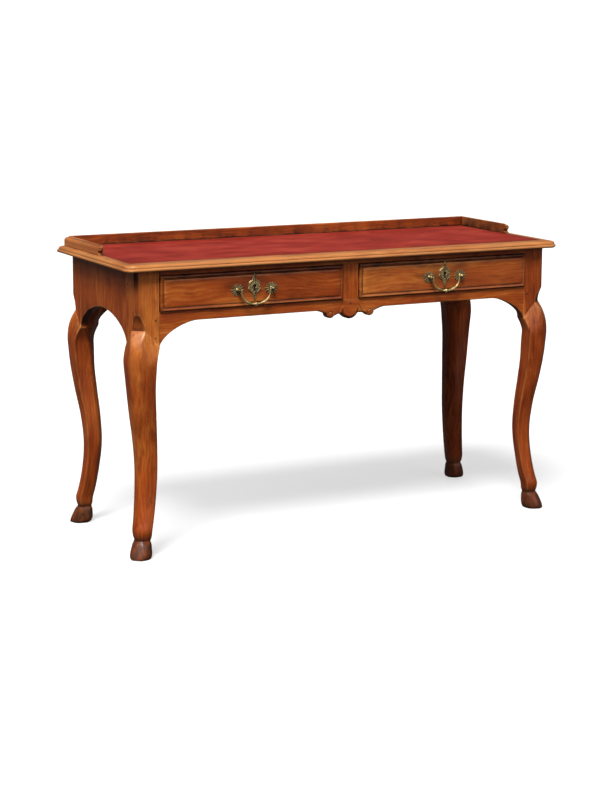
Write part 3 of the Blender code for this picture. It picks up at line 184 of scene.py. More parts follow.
class Finishes(bpy.types.PropertyGroup):
    """Colours of the materials."""

    wood_light: tint("Wood, light", "Pale streaks of the walnut", "#CC7630")
    wood_mid: tint("Wood, middle", "Body of the walnut", "#A44A18")
    wood_dark: tint("Wood, dark", "Dark streaks of the walnut", "#64230A")
    wood_red: tint("Wood, red", "Built-up polish", "#7C2C12")
    # The worn colour also paints a sheen under the leg creases
    wood_worn_and_sheen: tint("Wood, worn", "Rubbed edges", "#E0A463")
    hoof: tint("Hoof", "Grey-brown of the feet", "#4A2C1C")
    # Grime also paints the shade in hollows, creases, gaps and under edges
    grime_and_shade: tint("Grime", "Old wax and dirt in the hollows", "#1F0D07")
    leather_light: tint("Leather, rubbed", "Rubbed leather", "#A63828")
    leather_mid: tint("Leather", "Body of the leather", "#8C2214")
    leather_dark: tint("Leather, dark", "Stained leather", "#62150D")
    brass_light: tint("Brass", "Rubbed brass", "#D6BA7C")
    brass_dark: tint("Brass, dark", "Tarnish in the hollows", "#4A3A1A")
    verdigris: tint("Verdigris", "Green bloom on the brass", "#6A6E48")
    oak_light: tint("Oak, light", "Dry drawer oak", "#C09A68")
    oak_dark: tint("Oak, dark", "Dark grain of the oak", "#8A6238")
    iron: tint("Iron", "Oiled iron of the locks", "#4B463F")
    rust: tint("Rust", "Brown bloom on the iron", "#6A4630")


# Shapes

def lerp(start, end, share):
    """Straight mix of two values."""
    return start + (end - start) * share


def bump(distance, width):
    """Bell curve of a distance, 1 in the middle and near 0 two widths out."""
    return np.exp(-(distance / width) ** 2)


def ease(share):
    """Smooth step from 0 to 1."""
    share = np.clip(share, 0, 1)
    return share * share * (3 - 2 * share)


def through(xs, ys, x):
    """Smooth cubic through the stations, with slopes taken from their neighbours."""
    slopes = np.gradient(ys, xs)
    i = np.clip(np.searchsorted(xs, x) - 1, 0, len(xs) - 2)
    step = xs[i + 1] - xs[i]
    t = (x - xs[i]) / step
    rise = ys[i] * (1 + 2 * t) * (1 - t) ** 2 + ys[i + 1] * t * t * (3 - 2 * t)
    return rise + step * (slopes[i] * t * (1 - t) ** 2 - slopes[i + 1] * t * t * (1 - t))


def waves(x, y, seed):
    """Gentle uneven surface between -1 and 1: a sum of sines of unrelated lengths and phases."""
    phases = np.random.default_rng(seed).uniform(0, TURN, 6)
    total = np.sin(x * 9 + phases[0]) + np.sin(y * 23 + x * 5 + phases[1])
    total = total + np.sin(x * 31 - y * 17 + phases[2])
    total = total + np.sin(y * 61 + phases[3]) + np.sin(x * 67 + y * 41 + phases[4])
    return total / 5


def joined(*parts):
    """Points whose coordinates are the given arrays, each stretched to the shape of all."""
    return np.stack(np.broadcast_arrays(*parts), axis=-1)


def soften(ring, passes):
    """Round the corners of closed rings: each point moves to the mean of itself and its neighbours."""
    for _ in range(passes):
        ring = (np.roll(ring, 1, axis=1) + 2 * ring + np.roll(ring, -1, axis=1)) / 4
    return ring


def patch(points, closed=False, stain_and_shade=0.0):
    """Skin over a grid: its points, the corner numbers of its cells and its marks of stain and painted shade.

    A closed grid's last column is joined to its first.
    """
    down, across = points.shape[:2]
    r, c = np.meshgrid(np.arange(down - 1) * across, np.arange(across - (not closed)), indexing="ij")
    beside = (c + 1) % across
    cells = np.stack((r + c, r + beside, r + across + beside, r + across + c), axis=-1).reshape(-1, 4)
    return points.reshape(-1, 3), cells, np.broadcast_to(stain_and_shade, (down, across)).reshape(-1)


def tube(rings, stain_and_shade=0.0):
    """Closed skin over rings, with both ends drawn together to their middle points."""
    ends = np.broadcast_to(rings[[0, -1]].mean(axis=1, keepdims=True), (2, *rings.shape[1:]))
    stain_and_shade = np.broadcast_to(stain_and_shade, rings.shape[:2])
    return patch(np.concatenate((ends[:1], rings, ends[1:])), True, np.pad(stain_and_shade, ((1, 1), (0, 0)), "edge"))


def dome(centre, out, radius, proud, stain_and_shade):
    """Skin of a low round head: a disc whose middle stands proud, closed behind."""
    side = np.cross(out, (0.0, 0.0, 1.0))
    up = np.cross(side, out)
    rho = np.array((0.0, 0.45, 0.75, 0.92, 1.0, 1.0, 0.0))[:, None, None]
    lift = np.array((1.0, 0.9, 0.65, 0.35, 0.0, -4.0, -4.0))[:, None, None]
    turn = np.linspace(0, TURN, 16, endpoint=False)[:, None]
    points = centre + radius * rho * (side * np.cos(turn) + up * np.sin(turn)) + proud * lift * np.array(out)
    return patch(points, True, stain_and_shade)


def moved(skins, place):
    """Skins carried to a place."""
    return [(points + np.array(place), cells, stain_and_shade) for points, cells, stain_and_shade in skins]


def read_values(data, key, width=1, kind=float):
    """A property of all elements of a mesh, in rows."""
    values = np.empty(len(data) * width, dtype=kind)
    data.foreach_get(key, values)
    return values.reshape(-1, width)


def set_values(mesh, name, values):
    """Float attribute on the vertices."""
    layer = mesh.attributes.new(name, "FLOAT", "POINT")
    layer.data.foreach_set("value", np.ascontiguousarray(values, dtype=np.float32))


def edge_curvature(mesh):
    """Strongest outward and inward bend at each vertex along its edges, in 1/m.

    Along an edge from a vertex with normal n, the bend is -2 d.n / |d|^2 for the edge vector d.
    """
    places = read_values(mesh.vertices, "co", 3)
    normals = read_values(mesh.vertex_normals, "vector", 3)
    ends = read_values(mesh.edges, "vertices", 2, np.int32)
    steps = places[ends[:, 1]] - places[ends[:, 0]]
    squares = np.maximum((steps ** 2).sum(axis=1), 1e-12)
    out, back = np.zeros(len(places)), np.zeros(len(places))
    for column, sign in ((0, -2.0), (1, 2.0)):
        bend = sign * (steps * normals[ends[:, column]]).sum(axis=1) / squares
        np.maximum.at(out, ends[:, column], bend)
        np.minimum.at(back, ends[:, column], bend)
    return out, -back


def add_piece(name, node_name, skins, material, body="table", board=0.0, tone=0.0,
              fade=(0, 0, 0), worn=0.003, sharp=48):
    """Weld skins into one piece, mark worn edges and hollows darkened by dirt and painted shade, and hang it
    on its body.

    A skin's stain marks add dirt and painted shade where they are above 0, and wear and painted sheen where
    they are below. worn is about the radius in metres at which an edge counts as half rubbed. board shifts
    the grain, tone makes the whole board lighter or darker, and fade is the change of tone in a metre along
    X, Y and Z.
    """
    points, cells, stain_and_shade_parts = zip(*skins)
    starts = np.cumsum([0] + [len(part) for part in points])
    cells = np.concatenate([part + start for part, start in zip(cells, starts)])
    mesh = bpy.data.meshes.new(name)
    mesh.from_pydata(np.concatenate(points), [], cells)
    set_values(mesh, "stain_and_shade", np.concatenate(stain_and_shade_parts))
    work = bmesh.new()
    work.from_mesh(mesh)
    bmesh.ops.remove_doubles(work, verts=work.verts, dist=1e-6)
    bmesh.ops.recalc_face_normals(work, faces=work.faces)
    work.to_mesh(mesh)
    work.free()
    mesh.shade_smooth()
    mesh.set_sharp_from_angle(angle=math.radians(sharp))
    out, back = edge_curvature(mesh)
    stain_and_shade = read_values(mesh.attributes["stain_and_shade"].data, "value")[:, 0]
    # Faces that look down are darkened too, as painted shade
    under = np.clip(-read_values(mesh.vertex_normals, "vector", 3)[:, 2] - 0.25, 0, 0.5)
    set_values(mesh, "wear_and_sheen", np.clip(np.clip(out * worn - 0.35, 0, 1) - np.minimum(stain_and_shade, 0), 0, 1))
    # Hollows darken as dirt and painted shade, together with the skins' marks and the painted shade under the
    # piece
    set_values(mesh, "dirt_and_shade", np.clip(np.clip(back * worn - 0.3, 0, 1) * 0.8 + stain_and_shade + under, 0, 1))
    set_values(mesh, "board", np.full(len(stain_and_shade), board))
    set_values(mesh, "tone", tone + read_values(mesh.vertices, "co", 3) @ fade)
    mesh.attributes.remove(mesh.attributes["stain_and_shade"])
    mesh.materials.append(material)
    piece = bpy.data.objects.new(name, mesh)
    bpy.context.scene.collection.objects.link(piece)
    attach(piece, body)
    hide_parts(node_name)
    return piece


# Materials

def node(tree, kind, feeds=(), out=0, stops=(), **settings):
    """Add a node and give one of its outputs.

    Its settings come first, then values or links for its sockets, by name or in order, then a ramp's stops.
    """
    made = tree.nodes.new("ShaderNode" + kind)
    for key, value in settings.items():
        setattr(made, key, value)
    for key, value in feeds.items() if isinstance(feeds, dict) else enumerate(feeds):
        if isinstance(value, bpy.types.NodeSocket):
            tree.links.new(value, made.inputs[key])
        else:
            made.inputs[key].default_value = value
    for i, (place, value) in enumerate(stops):
        band = made.color_ramp.elements
        stop = band[i] if i < 2 else band.new(place)
        stop.position, stop.color = place, (*value, 1.0)
    return made.outputs[out] if made.outputs else None


def new_material(name):
    """Empty material with its tree and the object coordinates."""
    material = bpy.data.materials.new(name)
    material.use_nodes = True
    material.node_tree.nodes.clear()
    return material, material.node_tree, node(material.node_tree, "TexCoord", out="Object")


def finished(material, sockets):
    """Material with its shader, whose sockets get these values and links."""
    shader = node(material.node_tree, "BsdfPrincipled", sockets)
    node(material.node_tree, "OutputMaterial", [shader])
    return material


def grain(tree, vector, run, width, detail=3.0):
    """Noise drawn out along X: run and width are the length and breadth of its streaks in metres."""
    spread = node(tree, "Mapping", {"Vector": vector, "Scale": (1 / run, 1 / width, 1 / width)})
    return node(tree, "TexNoise", {"Vector": spread, "Scale": 1.0, "Detail": detail})


def wood(name, along, light, mid, dark, red, worn, grime_and_shade, gloss=0.34, hoof=None):
    """Old waxed wood: long tone streaks, growth rings, dark pores, rubbed edges with some painted sheen, and
    hollows darkened by dirt and painted shade.

    To the eye it is warm and streaky, with a soft shine that breaks up along the grain.
    """
    material, tree, coords = new_material(name)
    board_here, tone_here, wear_and_sheen_here, dirt_and_shade_here = (
        node(tree, "Attribute", out="Fac", attribute_name=key) for key in ("board", "tone", "wear_and_sheen", "dirt_and_shade"))
    shift = node(tree, "VectorMath", {0: (3.1, 1.7, 2.3), "Scale": board_here}, operation="SCALE")
    place = node(tree, "VectorMath", (coords, shift), operation="ADD")
    turn = {"X": (0, 0, 0), "Y": (0, 0, -QUARTER), "Z": (0, QUARTER, 0)}[along]
    board = node(tree, "Mapping", {"Vector": place, "Rotation": turn})
    # The grain wanders to and fro by about 10 mm over a hand's length
    wander = grain(tree, board, 0.21, 0.11, 2.0)
    sway = node(tree, "VectorMath", {0: (0, 0.045, 0.045), "Scale": wander}, operation="SCALE")
    board = node(tree, "VectorMath", (board, sway), operation="ADD")
    cloud = grain(tree, board, 0.20, 0.055)
    streak = grain(tree, board, 0.16, 0.0065, 4.0)
    fibre = grain(tree, board, 0.045, 0.0016)
    pores = grain(tree, board, 0.012, 0.0009, 1.0)
    smudge = grain(tree, board, 0.060, 0.022, 5.0)
    # Growth rings 8 mm apart round a heart that lies 90 mm off the board
    heart = node(tree, "Mapping", {"Vector": board, "Location": (0, 0.09, 0.05), "Scale": (0.06, 1, 1)})
    rings = node(tree, "TexWave", {"Vector": heart, "Scale": 0.314 / 0.008, "Distortion": 7.0, "Detail": 2.0,
                                   "Detail Scale": 0.6}, out=1, wave_type="RINGS", rings_direction="X")
    tone = cloud
    for share, figure in ((0.36, streak), (0.18, fibre), (0.05, rings)):
        tone = node(tree, "Mix", {0: share, 2: tone, 3: figure})
    tone = node(tree, "Math", (tone, tone_here), operation="ADD")
    colour = node(tree, "ValToRGB", [tone], stops=((0.29, dark), (0.69, light), (0.49, mid)))

    # Red-brown clouds where old polish has built up, and smudges of dark wax a few centimetres long
    polish = node(tree, "MapRange", (grain(tree, board, 0.20, 0.085), 0.50, 0.72, 0.0, 0.62))
    wax = node(tree, "MapRange", (smudge, 0.52, 0.70, 0.0, 0.50))
    # Knocks and worm holes: a few dark dots about 2 mm across, 30 mm apart
    knock = node(tree, "TexVoronoi", {"Vector": place, "Scale": 1 / 0.030}, out="Color")
    dot = node(tree, "MapRange", (knock.node.outputs["Distance"], 0.025, 0.055, 0.75, 0.0))
    chosen = node(tree, "Math", (node(tree, "SeparateXYZ", [knock]), 0.62), operation="GREATER_THAN")
    dot = node(tree, "Math", (dot, chosen), operation="MULTIPLY")
    spots = node(tree, "MapRange", (pores, 0.60, 0.72, 0.0, 0.38))
    # Rubbed edges and painted sheen, broken up so that they look handled, and uneven dirt and painted shade
    rub_and_sheen = node(tree, "MapRange", (streak, 0.35, 0.62, 0.10, 0.60))
    rub_and_sheen = node(tree, "Math", (wear_and_sheen_here, rub_and_sheen), operation="MULTIPLY")
    uneven = node(tree, "MapRange", (smudge, 0.35, 0.65, 0.65, 1.25))
    dirt_and_shade = node(tree, "Math", (dirt_and_shade_here, uneven), operation="MULTIPLY")
    layers = [(polish, red), (wax, dark), (dot, grime_and_shade), (spots, dark), (rub_and_sheen, worn)]
    if hoof:
        # Feet go grey-brown towards the floor with mops and shoes
        height = node(tree, "SeparateXYZ", [coords], out="Z")
        low = node(tree, "MapRange", (height, 0.070, 0.035, 0.0, 1.0))
        scuff = node(tree, "MapRange", (grain(tree, board, 0.02, 0.012), 0.35, 0.65, 1.0, 0.55))
        layers.append((node(tree, "Math", (low, scuff), operation="MULTIPLY"), hoof))
    for share, paint in (*layers, (dirt_and_shade, grime_and_shade)):
        colour = node(tree, "Mix", {0: share, 6: colour, 7: (*paint, 1)}, out=2, data_type="RGBA")

    shine = node(tree, "MapRange", (streak, 0.3, 0.7, gloss - 0.05, gloss + 0.10))
    for share, dull in ((dirt_and_shade, 0.6), (rub_and_sheen, 0.26)):
        shine = node(tree, "Mix", {0: share, 2: shine, 3: dull})
    relief = node(tree, "Mix", {0: 0.5, 2: streak, 3: fibre})
    dents = node(tree, "Bump", {"Height": relief, "Strength": 0.22, "Distance": 0.0006})
    return finished(material, {"Base Color": colour, "Roughness": shine, "Normal": dents,
                               "Specular IOR Level": 0.25, "Coat Weight": 0.06, "Coat Roughness": 0.20})


def walnut(finish, name, along, gloss=0.34, hoof=None, faded=0.0):
    """The table's own wood with its grain along one axis; faded mixes it towards the rubbed colour."""
    light, mid, dark = (lerp(np.array(tone), np.array(finish.wood_worn_and_sheen), faded)
                        for tone in (finish.wood_light, finish.wood_mid, finish.wood_dark))
    return wood(name, along, light, mid, dark, finish.wood_red, finish.wood_worn_and_sheen, finish.grime_and_shade, gloss, hoof)


def oak(finish, name, along):
    """Dry, unpolished oak of the drawers: pale, dull and coarse."""
    mid = lerp(np.array(finish.oak_dark), np.array(finish.oak_light), 0.6)
    return wood(name, along, finish.oak_light, mid, finish.oak_dark, finish.oak_dark, finish.oak_light,
                finish.grime_and_shade, 0.62)


def red_leather(finish):
    """Worn red hide: cloudy, blotched colour, a fine pebble grain and darker edges."""
    material, tree, coords = new_material("red_leather")
    cloud = grain(tree, coords, 0.13, 0.08, 5.0)
    blotch = grain(tree, coords, 0.055, 0.022, 5.0)
    fleck = grain(tree, coords, 0.006, 0.006, 2.0)
    tone = node(tree, "Mix", {0: 0.42, 2: cloud, 3: blotch})
    tone = node(tree, "Mix", {0: 0.16, 2: tone, 3: fleck})
    stops = ((0.29, finish.leather_dark), (0.70, finish.leather_light), (0.49, finish.leather_mid))
    colour = node(tree, "ValToRGB", [tone], stops=stops)
    dirt_and_shade = node(tree, "Attribute", out="Fac", attribute_name="dirt_and_shade")
    colour = node(tree, "Mix", {0: dirt_and_shade, 6: colour, 7: (*finish.grime_and_shade, 1)}, out=2, data_type="RGBA")
    # Pebbles about 1.2 mm across
    pebble = node(tree, "TexVoronoi", {"Vector": coords, "Scale": 1 / 0.0012}, feature="SMOOTH_F1")
    relief = node(tree, "Mix", {0: 0.6, 2: pebble, 3: fleck})
    dents = node(tree, "Bump", {"Height": relief, "Strength": 0.25, "Distance": 0.0004})
    shine = node(tree, "MapRange", (blotch, 0.3, 0.7, 0.52, 0.68))
    return finished(material, {"Base Color": colour, "Roughness": shine, "Normal": dents,
                               "Specular IOR Level": 0.2})


def old_brass(finish):
    """Cast brass gone brown: bright where hands rub it, dark in the hollows, a little green between."""
    material, tree, coords = new_material("old_brass")
    cloud = grain(tree, coords, 0.009, 0.009, 4.0)
    speck = grain(tree, coords, 0.0016, 0.0016, 2.0)
    wear_and_sheen, dirt_and_shade = (node(tree, "Attribute", out="Fac", attribute_name=key) for key in ("wear_and_sheen", "dirt_and_shade"))
    tone = node(tree, "Mix", {0: 0.35, 2: cloud, 3: speck})
    colour = node(tree, "ValToRGB", [tone], stops=((0.38, finish.brass_dark), (0.66, finish.brass_light)))
    green = node(tree, "MapRange", (cloud, 0.55, 0.70, 0.0, 0.35))
    bright = node(tree, "Math", (wear_and_sheen, 0.8), operation="MULTIPLY")
    for share, paint in ((green, finish.verdigris), (bright, finish.brass_light), (dirt_and_shade, finish.grime_and_shade)):
        colour = node(tree, "Mix", {0: share, 6: colour, 7: (*paint, 1)}, out=2, data_type="RGBA")
    metal = node(tree, "MapRange", (dirt_and_shade, 0.0, 0.8, 0.72, 0.05))
    shine = node(tree, "MapRange", (tone, 0.35, 0.65, 0.46, 0.28))
    shine = node(tree, "Mix", {0: dirt_and_shade, 2: shine, 3: 0.95})
    dents = node(tree, "Bump", {"Height": tone, "Strength": 0.3, "Distance": 0.0004})
    return finished(material, {"Base Color": colour, "Metallic": metal, "Roughness": shine, "Normal": dents})


def dull_iron(finish):
    """Oiled iron: nearly black, with a brown bloom and a broken shine."""
    material, tree, coords = new_material("dull_iron")
    cloud = grain(tree, coords, 0.012, 0.012, 4.0)
    colour = node(tree, "ValToRGB", [cloud], stops=((0.42, finish.iron), (0.66, finish.rust)))
    shine = node(tree, "MapRange", (cloud, 0.35, 0.65, 0.38, 0.72))
    metal = node(tree, "MapRange", (cloud, 0.4, 0.66, 0.9, 0.25))
    dents = node(tree, "Bump", {"Height": cloud, "Strength": 0.3, "Distance": 0.0005})
    return finished(material, {"Base Color": colour, "Metallic": metal, "Roughness": shine, "Normal": dents})


def pale_floor():
    """Matt studio floor: near white with faint clouds, and a glow that keeps the shadow on it light."""
    material, tree, coords = new_material("pale_floor")
    cloud = grain(tree, coords, 2.0, 2.0, 2.0)
    shade = node(tree, "ValToRGB", [cloud], stops=((0.3, (0.44,) * 3), (0.7, (0.47,) * 3)))
    return finished(material, {"Base Color": shade, "Roughness": 0.9, "Specular IOR Level": 0.1,
                               "Emission Color": (1.0, 1.0, 1.0, 1.0), "Emission Strength": 0.55})


# Legs

# Shank stations: share of the way up from neck to knee, corner out, inner face in, facet cut
SHANK = ((0.00, -0.0015, 0.0370, 0.0095), (0.055, 0.0015, 0.0392, 0.0100), (0.10, -0.0045, 0.0440, 0.0105),
         (0.24, -0.0184, 0.0552, 0.0125), (0.40, -0.0238, 0.0616, 0.0125), (0.56, -0.0163, 0.0594, 0.0128),
         (0.72, -0.0009, 0.0535, 0.0130), (0.875, 0.0112, 0.0489, 0.0135), (1.00, 0.0162, 0.0501, 0.0160))
# The hoof at its sole
HOOF_CORNER, HOOF_INNER, HOOF_FACET, HOOF_HEEL, HOOF_ARRIS = 0.0185, 0.0405, 0.0200, 0.0155, 0.0220
# Cuts across the inner corner, and rounding of the arrises beside the faces
ANKLE_HEEL, SHANK_HEEL, SHANK_ARRIS, BLOCK_ARRIS = 0.007, 0.016, 0.004, 0.0009
# Columns of a leg's rings: the middle of the facet, and the two inner arrises
FACET_COLUMN, ARRIS_COLUMNS = 33, (2, 63)
# Each leg: -1 in front or 1 behind, -1 left or 1 right, tone, and change of tone in a metre up
LEGS = ((-1, -1, -0.026, 0.16), (-1, 1, -0.05, 0.0), (1, -1, -0.01, 0.0), (1, 1, -0.09, 0.0))
# How far a peg's end stands proud, and its stain
PEG_END = (0.0004, 0.62)


def leg_rings(legs, rail_bottom):
    """Rings of a leg as distances in from the two outer faces, with their heights and their marks of dirt,
    painted shade and painted sheen.

    At each height the corner stands out by a swell; each face runs from the inner edge at the flank's
    share of that swell to the facet across the corner. Down to the end of the crease the face is flush
    as far as the crease and then rises to the swell as a power of the distance. The shank's values
    are cubics through stations; the hoof's follow a sine, and its toe a power.
    """
    top, neck, sole = FRAME_TOP, legs.neck, legs.sole
    hollow, crease, crease_end = top - legs.hollow_drop, top - legs.crease_drop, top - legs.crease_end
    foot, knee = top - legs.arch_foot, top - legs.knee_drop
    levels, counts = (top, hollow, crease, knee, neck, sole), (11, 33, 89, 169, 43)
    z = [np.linspace(high, low, n, endpoint=False) for high, low, n in zip(levels, levels[1:], counts)]
    z = np.append(np.concatenate(z), sole)[:, None]
    sink = np.clip((hollow - z) / (hollow - crease), 0, 1)
    bend = np.clip((crease - z) / (crease - knee), 0, 1)
    rise = np.clip((z - neck) / (knee - neck), 0, 1)
    drop = np.clip((neck - z) / (neck - sole), 0, 1)
    grow = np.sin(np.clip(drop / 0.8, 0, 1) ** 0.9 * QUARTER) ** 1.1
    toe = drop ** 0.92
    shares, corners, inners, facets = np.array(SHANK).T
    stretches = (z > crease, z > knee, z > neck, z <= neck)

    facet_hollow = lerp(legs.chamfer, legs.hollow_facet, np.sin(sink * QUARTER))
    facet = np.select(stretches, (facet_hollow, lerp(legs.hollow_facet, legs.knee_facet, bend),
                                  through(shares, facets, rise), lerp(facets[0], HOOF_FACET, grow)))
    sunk = (legs.chamfer - legs.hollow_facet) / ROOT2
    to_swell = 1 - (1 - bend) ** 2.6
    corner = np.select(stretches, ((legs.chamfer - facet_hollow) / ROOT2, lerp(sunk, corners[-1], to_swell),
                                   through(shares, corners, rise), lerp(corners[0], HOOF_CORNER, toe)))
    below = np.sin(np.clip((foot - z) / (foot - knee), 0, 1) * QUARTER)
    to_knee = lerp(legs.block, inners[-1], below)
    inner = np.select(stretches, (to_knee, to_knee, through(shares, inners, rise),
                                  lerp(inners[0], HOOF_INNER, grow)))
    cut = lerp(ANKLE_HEEL, SHANK_HEEL, ease((z - neck) / 0.12))
    cut = lerp(cut, legs.heel_cut, ease((z - knee + 0.05) / (foot - knee + 0.05)))
    cut = lerp(cut, BLOCK_ARRIS, ease((z - foot) / (rail_bottom - foot)))
    heel = np.where(z > neck, cut, lerp(ANKLE_HEEL, HOOF_HEEL, grow))
    arris = np.where(z > neck, lerp(BLOCK_ARRIS, SHANK_ARRIS, bend), lerp(SHANK_ARRIS, HOOF_ARRIS, grow))
    lean = np.clip((crease_end + 0.010 - z) / (crease_end + 0.010 - knee), 0, 1)
    flank = (lean * (2 - lean)) ** 1.4
    swell = (corner + (facet - legs.chamfer) / ROOT2) / ROOT2
    edge = swell * flank

    # Where the crease crosses the face; below its end the line only divides the grid
    a_in, a_out = inner - arris, facet - swell
    past = crease_end - z
    across = np.clip((crease - z) / (crease - crease_end), 0, 1)
    fold = np.where(past < 0, lerp(legs.hollow_facet, legs.block, across),
                    lerp(a_in, (a_in + a_out) / 2, ease(past / 0.09)))
    fold = np.clip(fold, a_out + 0.0012, a_in - 0.0012)
    share = np.linspace(0, 1, 13)
    a = np.concatenate((lerp(a_in, fold, share), lerp(fold, a_out, share)[:, 1:]), axis=1)
    hinge = np.where(past < 0, fold, a_in - 0.0012 * (1 - ease(past / 0.03)))
    line = np.clip((hinge - a) / (hinge - a_out), 0, 1)
    power, belly = lerp(0.8, 1.0, ease(past / 0.06)), 0.0016 * ease(past / 0.08)
    b = -lerp(edge, swell, line ** power) - belly * np.sin(math.pi * line)

    # Ring: lip and face, facet, the other face, and three straight stretches round the heel
    turn = np.linspace(0, QUARTER, 6)[:-1]
    lip = joined(inner - arris + arris * np.cos(turn), arris - edge - arris * np.sin(turn))
    half = np.concatenate((lip, joined(a, b)), axis=1)
    other = half[:, ::-1, ::-1]
    steps = np.linspace(0, 1, 8)[1:-1, None]
    across_facet = lerp(half[:, -1:], other[:, :1], steps) - 0.0005 * np.sin(math.pi * steps)
    heel_a = joined(inner - heel, inner)
    heel_b = heel_a[..., ::-1]
    steps = np.linspace(0, 1, 9)[1:, None]
    ring = np.concatenate((half, across_facet, other, lerp(other[:, -1:], heel_a, steps),
                           lerp(heel_a, heel_b, steps), lerp(heel_b, half[:, :1], steps[:-1])), axis=1)
    ring = lerp(soften(ring, 1), soften(ring, 4), ease((knee + 0.02 - z) / 0.06)[..., None])
    # Groove round the neck, over the hoof
    core = ring.mean(axis=1, keepdims=True)
    ring = core + (ring - core) * (1 - 0.09 * bump(z - neck, 0.0055))[..., None]
    # Sole: rounded under as a quarter ellipse, least at the toe
    column = np.arange(ring.shape[1])
    from_facet = np.abs(column - FACET_COLUMN)
    under = 0.24 - 0.17 * bump(from_facet, 9.0)
    share = np.clip((legs.sole_round - z) / legs.sole_round, 0, 1)
    ring = core + (ring - core) * (1 - under * (1 - np.sqrt(1 - share ** 2)))[..., None]
    ring = np.concatenate((ring, core[-1:] + (ring[-1:] - core[-1:]) * 0.93))
    z = np.append(z, [[0.0]], axis=0)

    on_corner = bump(from_facet, 7.0)
    # The canted corner darkens above the crease, and darkens more towards the top as a painted shadow of the
    # top's overhang
    canted = 0.42 * ease((z - crease) / 0.02) + 0.34 * ease((z - hollow - 0.045) / 0.045)
    # Painted shade in the groove round the neck; darker at the sole
    stain_and_shade = 0.28 * bump(z - neck, 0.006) + 0.5 * bump(z, 0.006) + canted * (from_facet < 4)
    # Painted shade in the hollow at the crease, on the corner
    stain_and_shade = stain_and_shade + 0.8 * bump(z - crease - 0.003, 0.008) * on_corner
    # Painted shade along the inner arrises, from the foot of the arches down, darkening over their rubbed
    # line
    from_arris = np.minimum(*(np.abs(column - place) for place in ARRIS_COLUMNS))
    stain_and_shade = stain_and_shade + 0.26 * bump(from_arris, 3.5) * ease((foot + 0.01 - z) / 0.02)
    # Rubbed pale just under the crease, on the faces and the facet alike: worn wood with a painted sheen
    near, far = ring.min(axis=-1), ring.max(axis=-1)
    reach = np.clip((far - legs.hollow_facet) / (legs.block - legs.hollow_facet), 0, 1)
    fall = lerp(crease, crease_end, reach) - z
    rub_and_sheen = np.where((fall > 0) & (near < 0.012) & (z > knee), np.exp(-fall / 0.022), 0.0)
    return ring, z, stain_and_shade - rub_and_sheen * (0.45 + 0.5 * on_corner)


class TABLE_OT_legs(bpy.types.Operator):
    """Build the four cabriole legs with their peg ends"""

    bl_idname = "table.legs"
    bl_label = "Legs"

    def execute(self, context):
        legs, rails, finish = context.scene.table_legs, context.scene.table_frame, context.scene.table_finish
        rail_bottom = SILL - rails.rail
        ring, z, stain_and_shade = leg_rings(legs, rail_bottom)
        material = walnut(finish, "waxed_walnut_upright", "Z", hoof=finish.hoof)
        # Two pegs pin each tenon, which is cut back from the edges of its board
        front_low, front_high = FRAME_TOP - legs.arch_foot + 0.010, SILL - 0.005
        side_low, side_high = rail_bottom - 0.020, FRAME_TOP - 0.020
        front_levels = front_low + rails.peg_end, front_high - rails.peg_end
        side_levels = side_low + rails.peg_end, side_high - rails.peg_end
        peg_in = legs.block - rails.peg_in
        for i, (back, right, tone, rise) in enumerate(LEGS):
            name = "leg_" + ("front" if back < 0 else "back") + ("_left" if right < 0 else "_right")
            points = joined(right * (SIDE_X - ring[..., 0]), back * (-FACE_Y - ring[..., 1]), z)
            skins = [tube(points, stain_and_shade)]
            for level in front_levels if back < 0 else side_levels:
                spot = (right * (SIDE_X - peg_in), back * -FACE_Y, level)
                skins.append(dome(spot, (0, back, 0), rails.peg, *PEG_END))
            for level in side_levels:
                spot = (right * SIDE_X, back * (-FACE_Y - peg_in), level)
                skins.append(dome(spot, (right, 0, 0), rails.peg, *PEG_END))
            add_piece(name + "_carved", name, skins, material, board=i * 0.37, tone=tone, fade=(0, 0, rise))
        return {"FINISHED"}


# Rails and aprons

def face_levels(rails, high, low, rows):
    """Heights of the rows down the face of a board, closer together towards its lower edge."""
    return lerp(high, low[:, None] + rails.edge, np.linspace(0, 1, rows) ** 0.9)


def apron_grid(rails, along, low, high, face, rows, relief=0.0):
    """Board with a shaped lower edge: at each place along it, a section with rounded lower corners.

    The section runs down the face, round the lower edge, up the back and over the top. relief is how
    far the face falls back at each grid point.
    """
    r, back = rails.edge, face + rails.apron
    z_face = face_levels(rails, high, low, rows)
    y_face = np.full_like(z_face, face) + relief
    y_low, low = y_face[:, -1:], low[:, None]
    turn = np.linspace(0, QUARTER, 6)[1:]
    quarters = np.linspace(0, 1, 5)[1:]
    stretches = ((y_face, z_face),
                 (y_low + r * (1 - np.cos(turn)), low + r * (1 - np.sin(turn))),
                 (lerp(y_low + r, back - r, quarters), low),
                 (back - r * (1 - np.sin(turn)), low + r * (1 - np.cos(turn))),
                 (back, lerp(low + r, high, np.linspace(0, 1, 9)[1:])),
                 (lerp(back, face, quarters[:-1]), high))
    return np.concatenate([joined(along[:, None], y, z) for y, z in stretches], axis=1)


def lower_edge_shade_and_dirt(grid, rows):
    """Painted shade and dirt along the lower edge of a board, strongest on the arris below its face."""
    return np.tile(0.5 * bump(np.arange(grid.shape[1]) - rows - 2.0, 4.0), (len(grid), 1))


def arch(run, rise, power, steps=44):
    """Quarter superellipse from its crown to its foot: distance in from the foot, and height over it."""
    angle = np.linspace(QUARTER, 0, steps)
    return run * (1 - np.cos(angle) ** (2 / power)), rise * np.sin(angle) ** (2 / power)


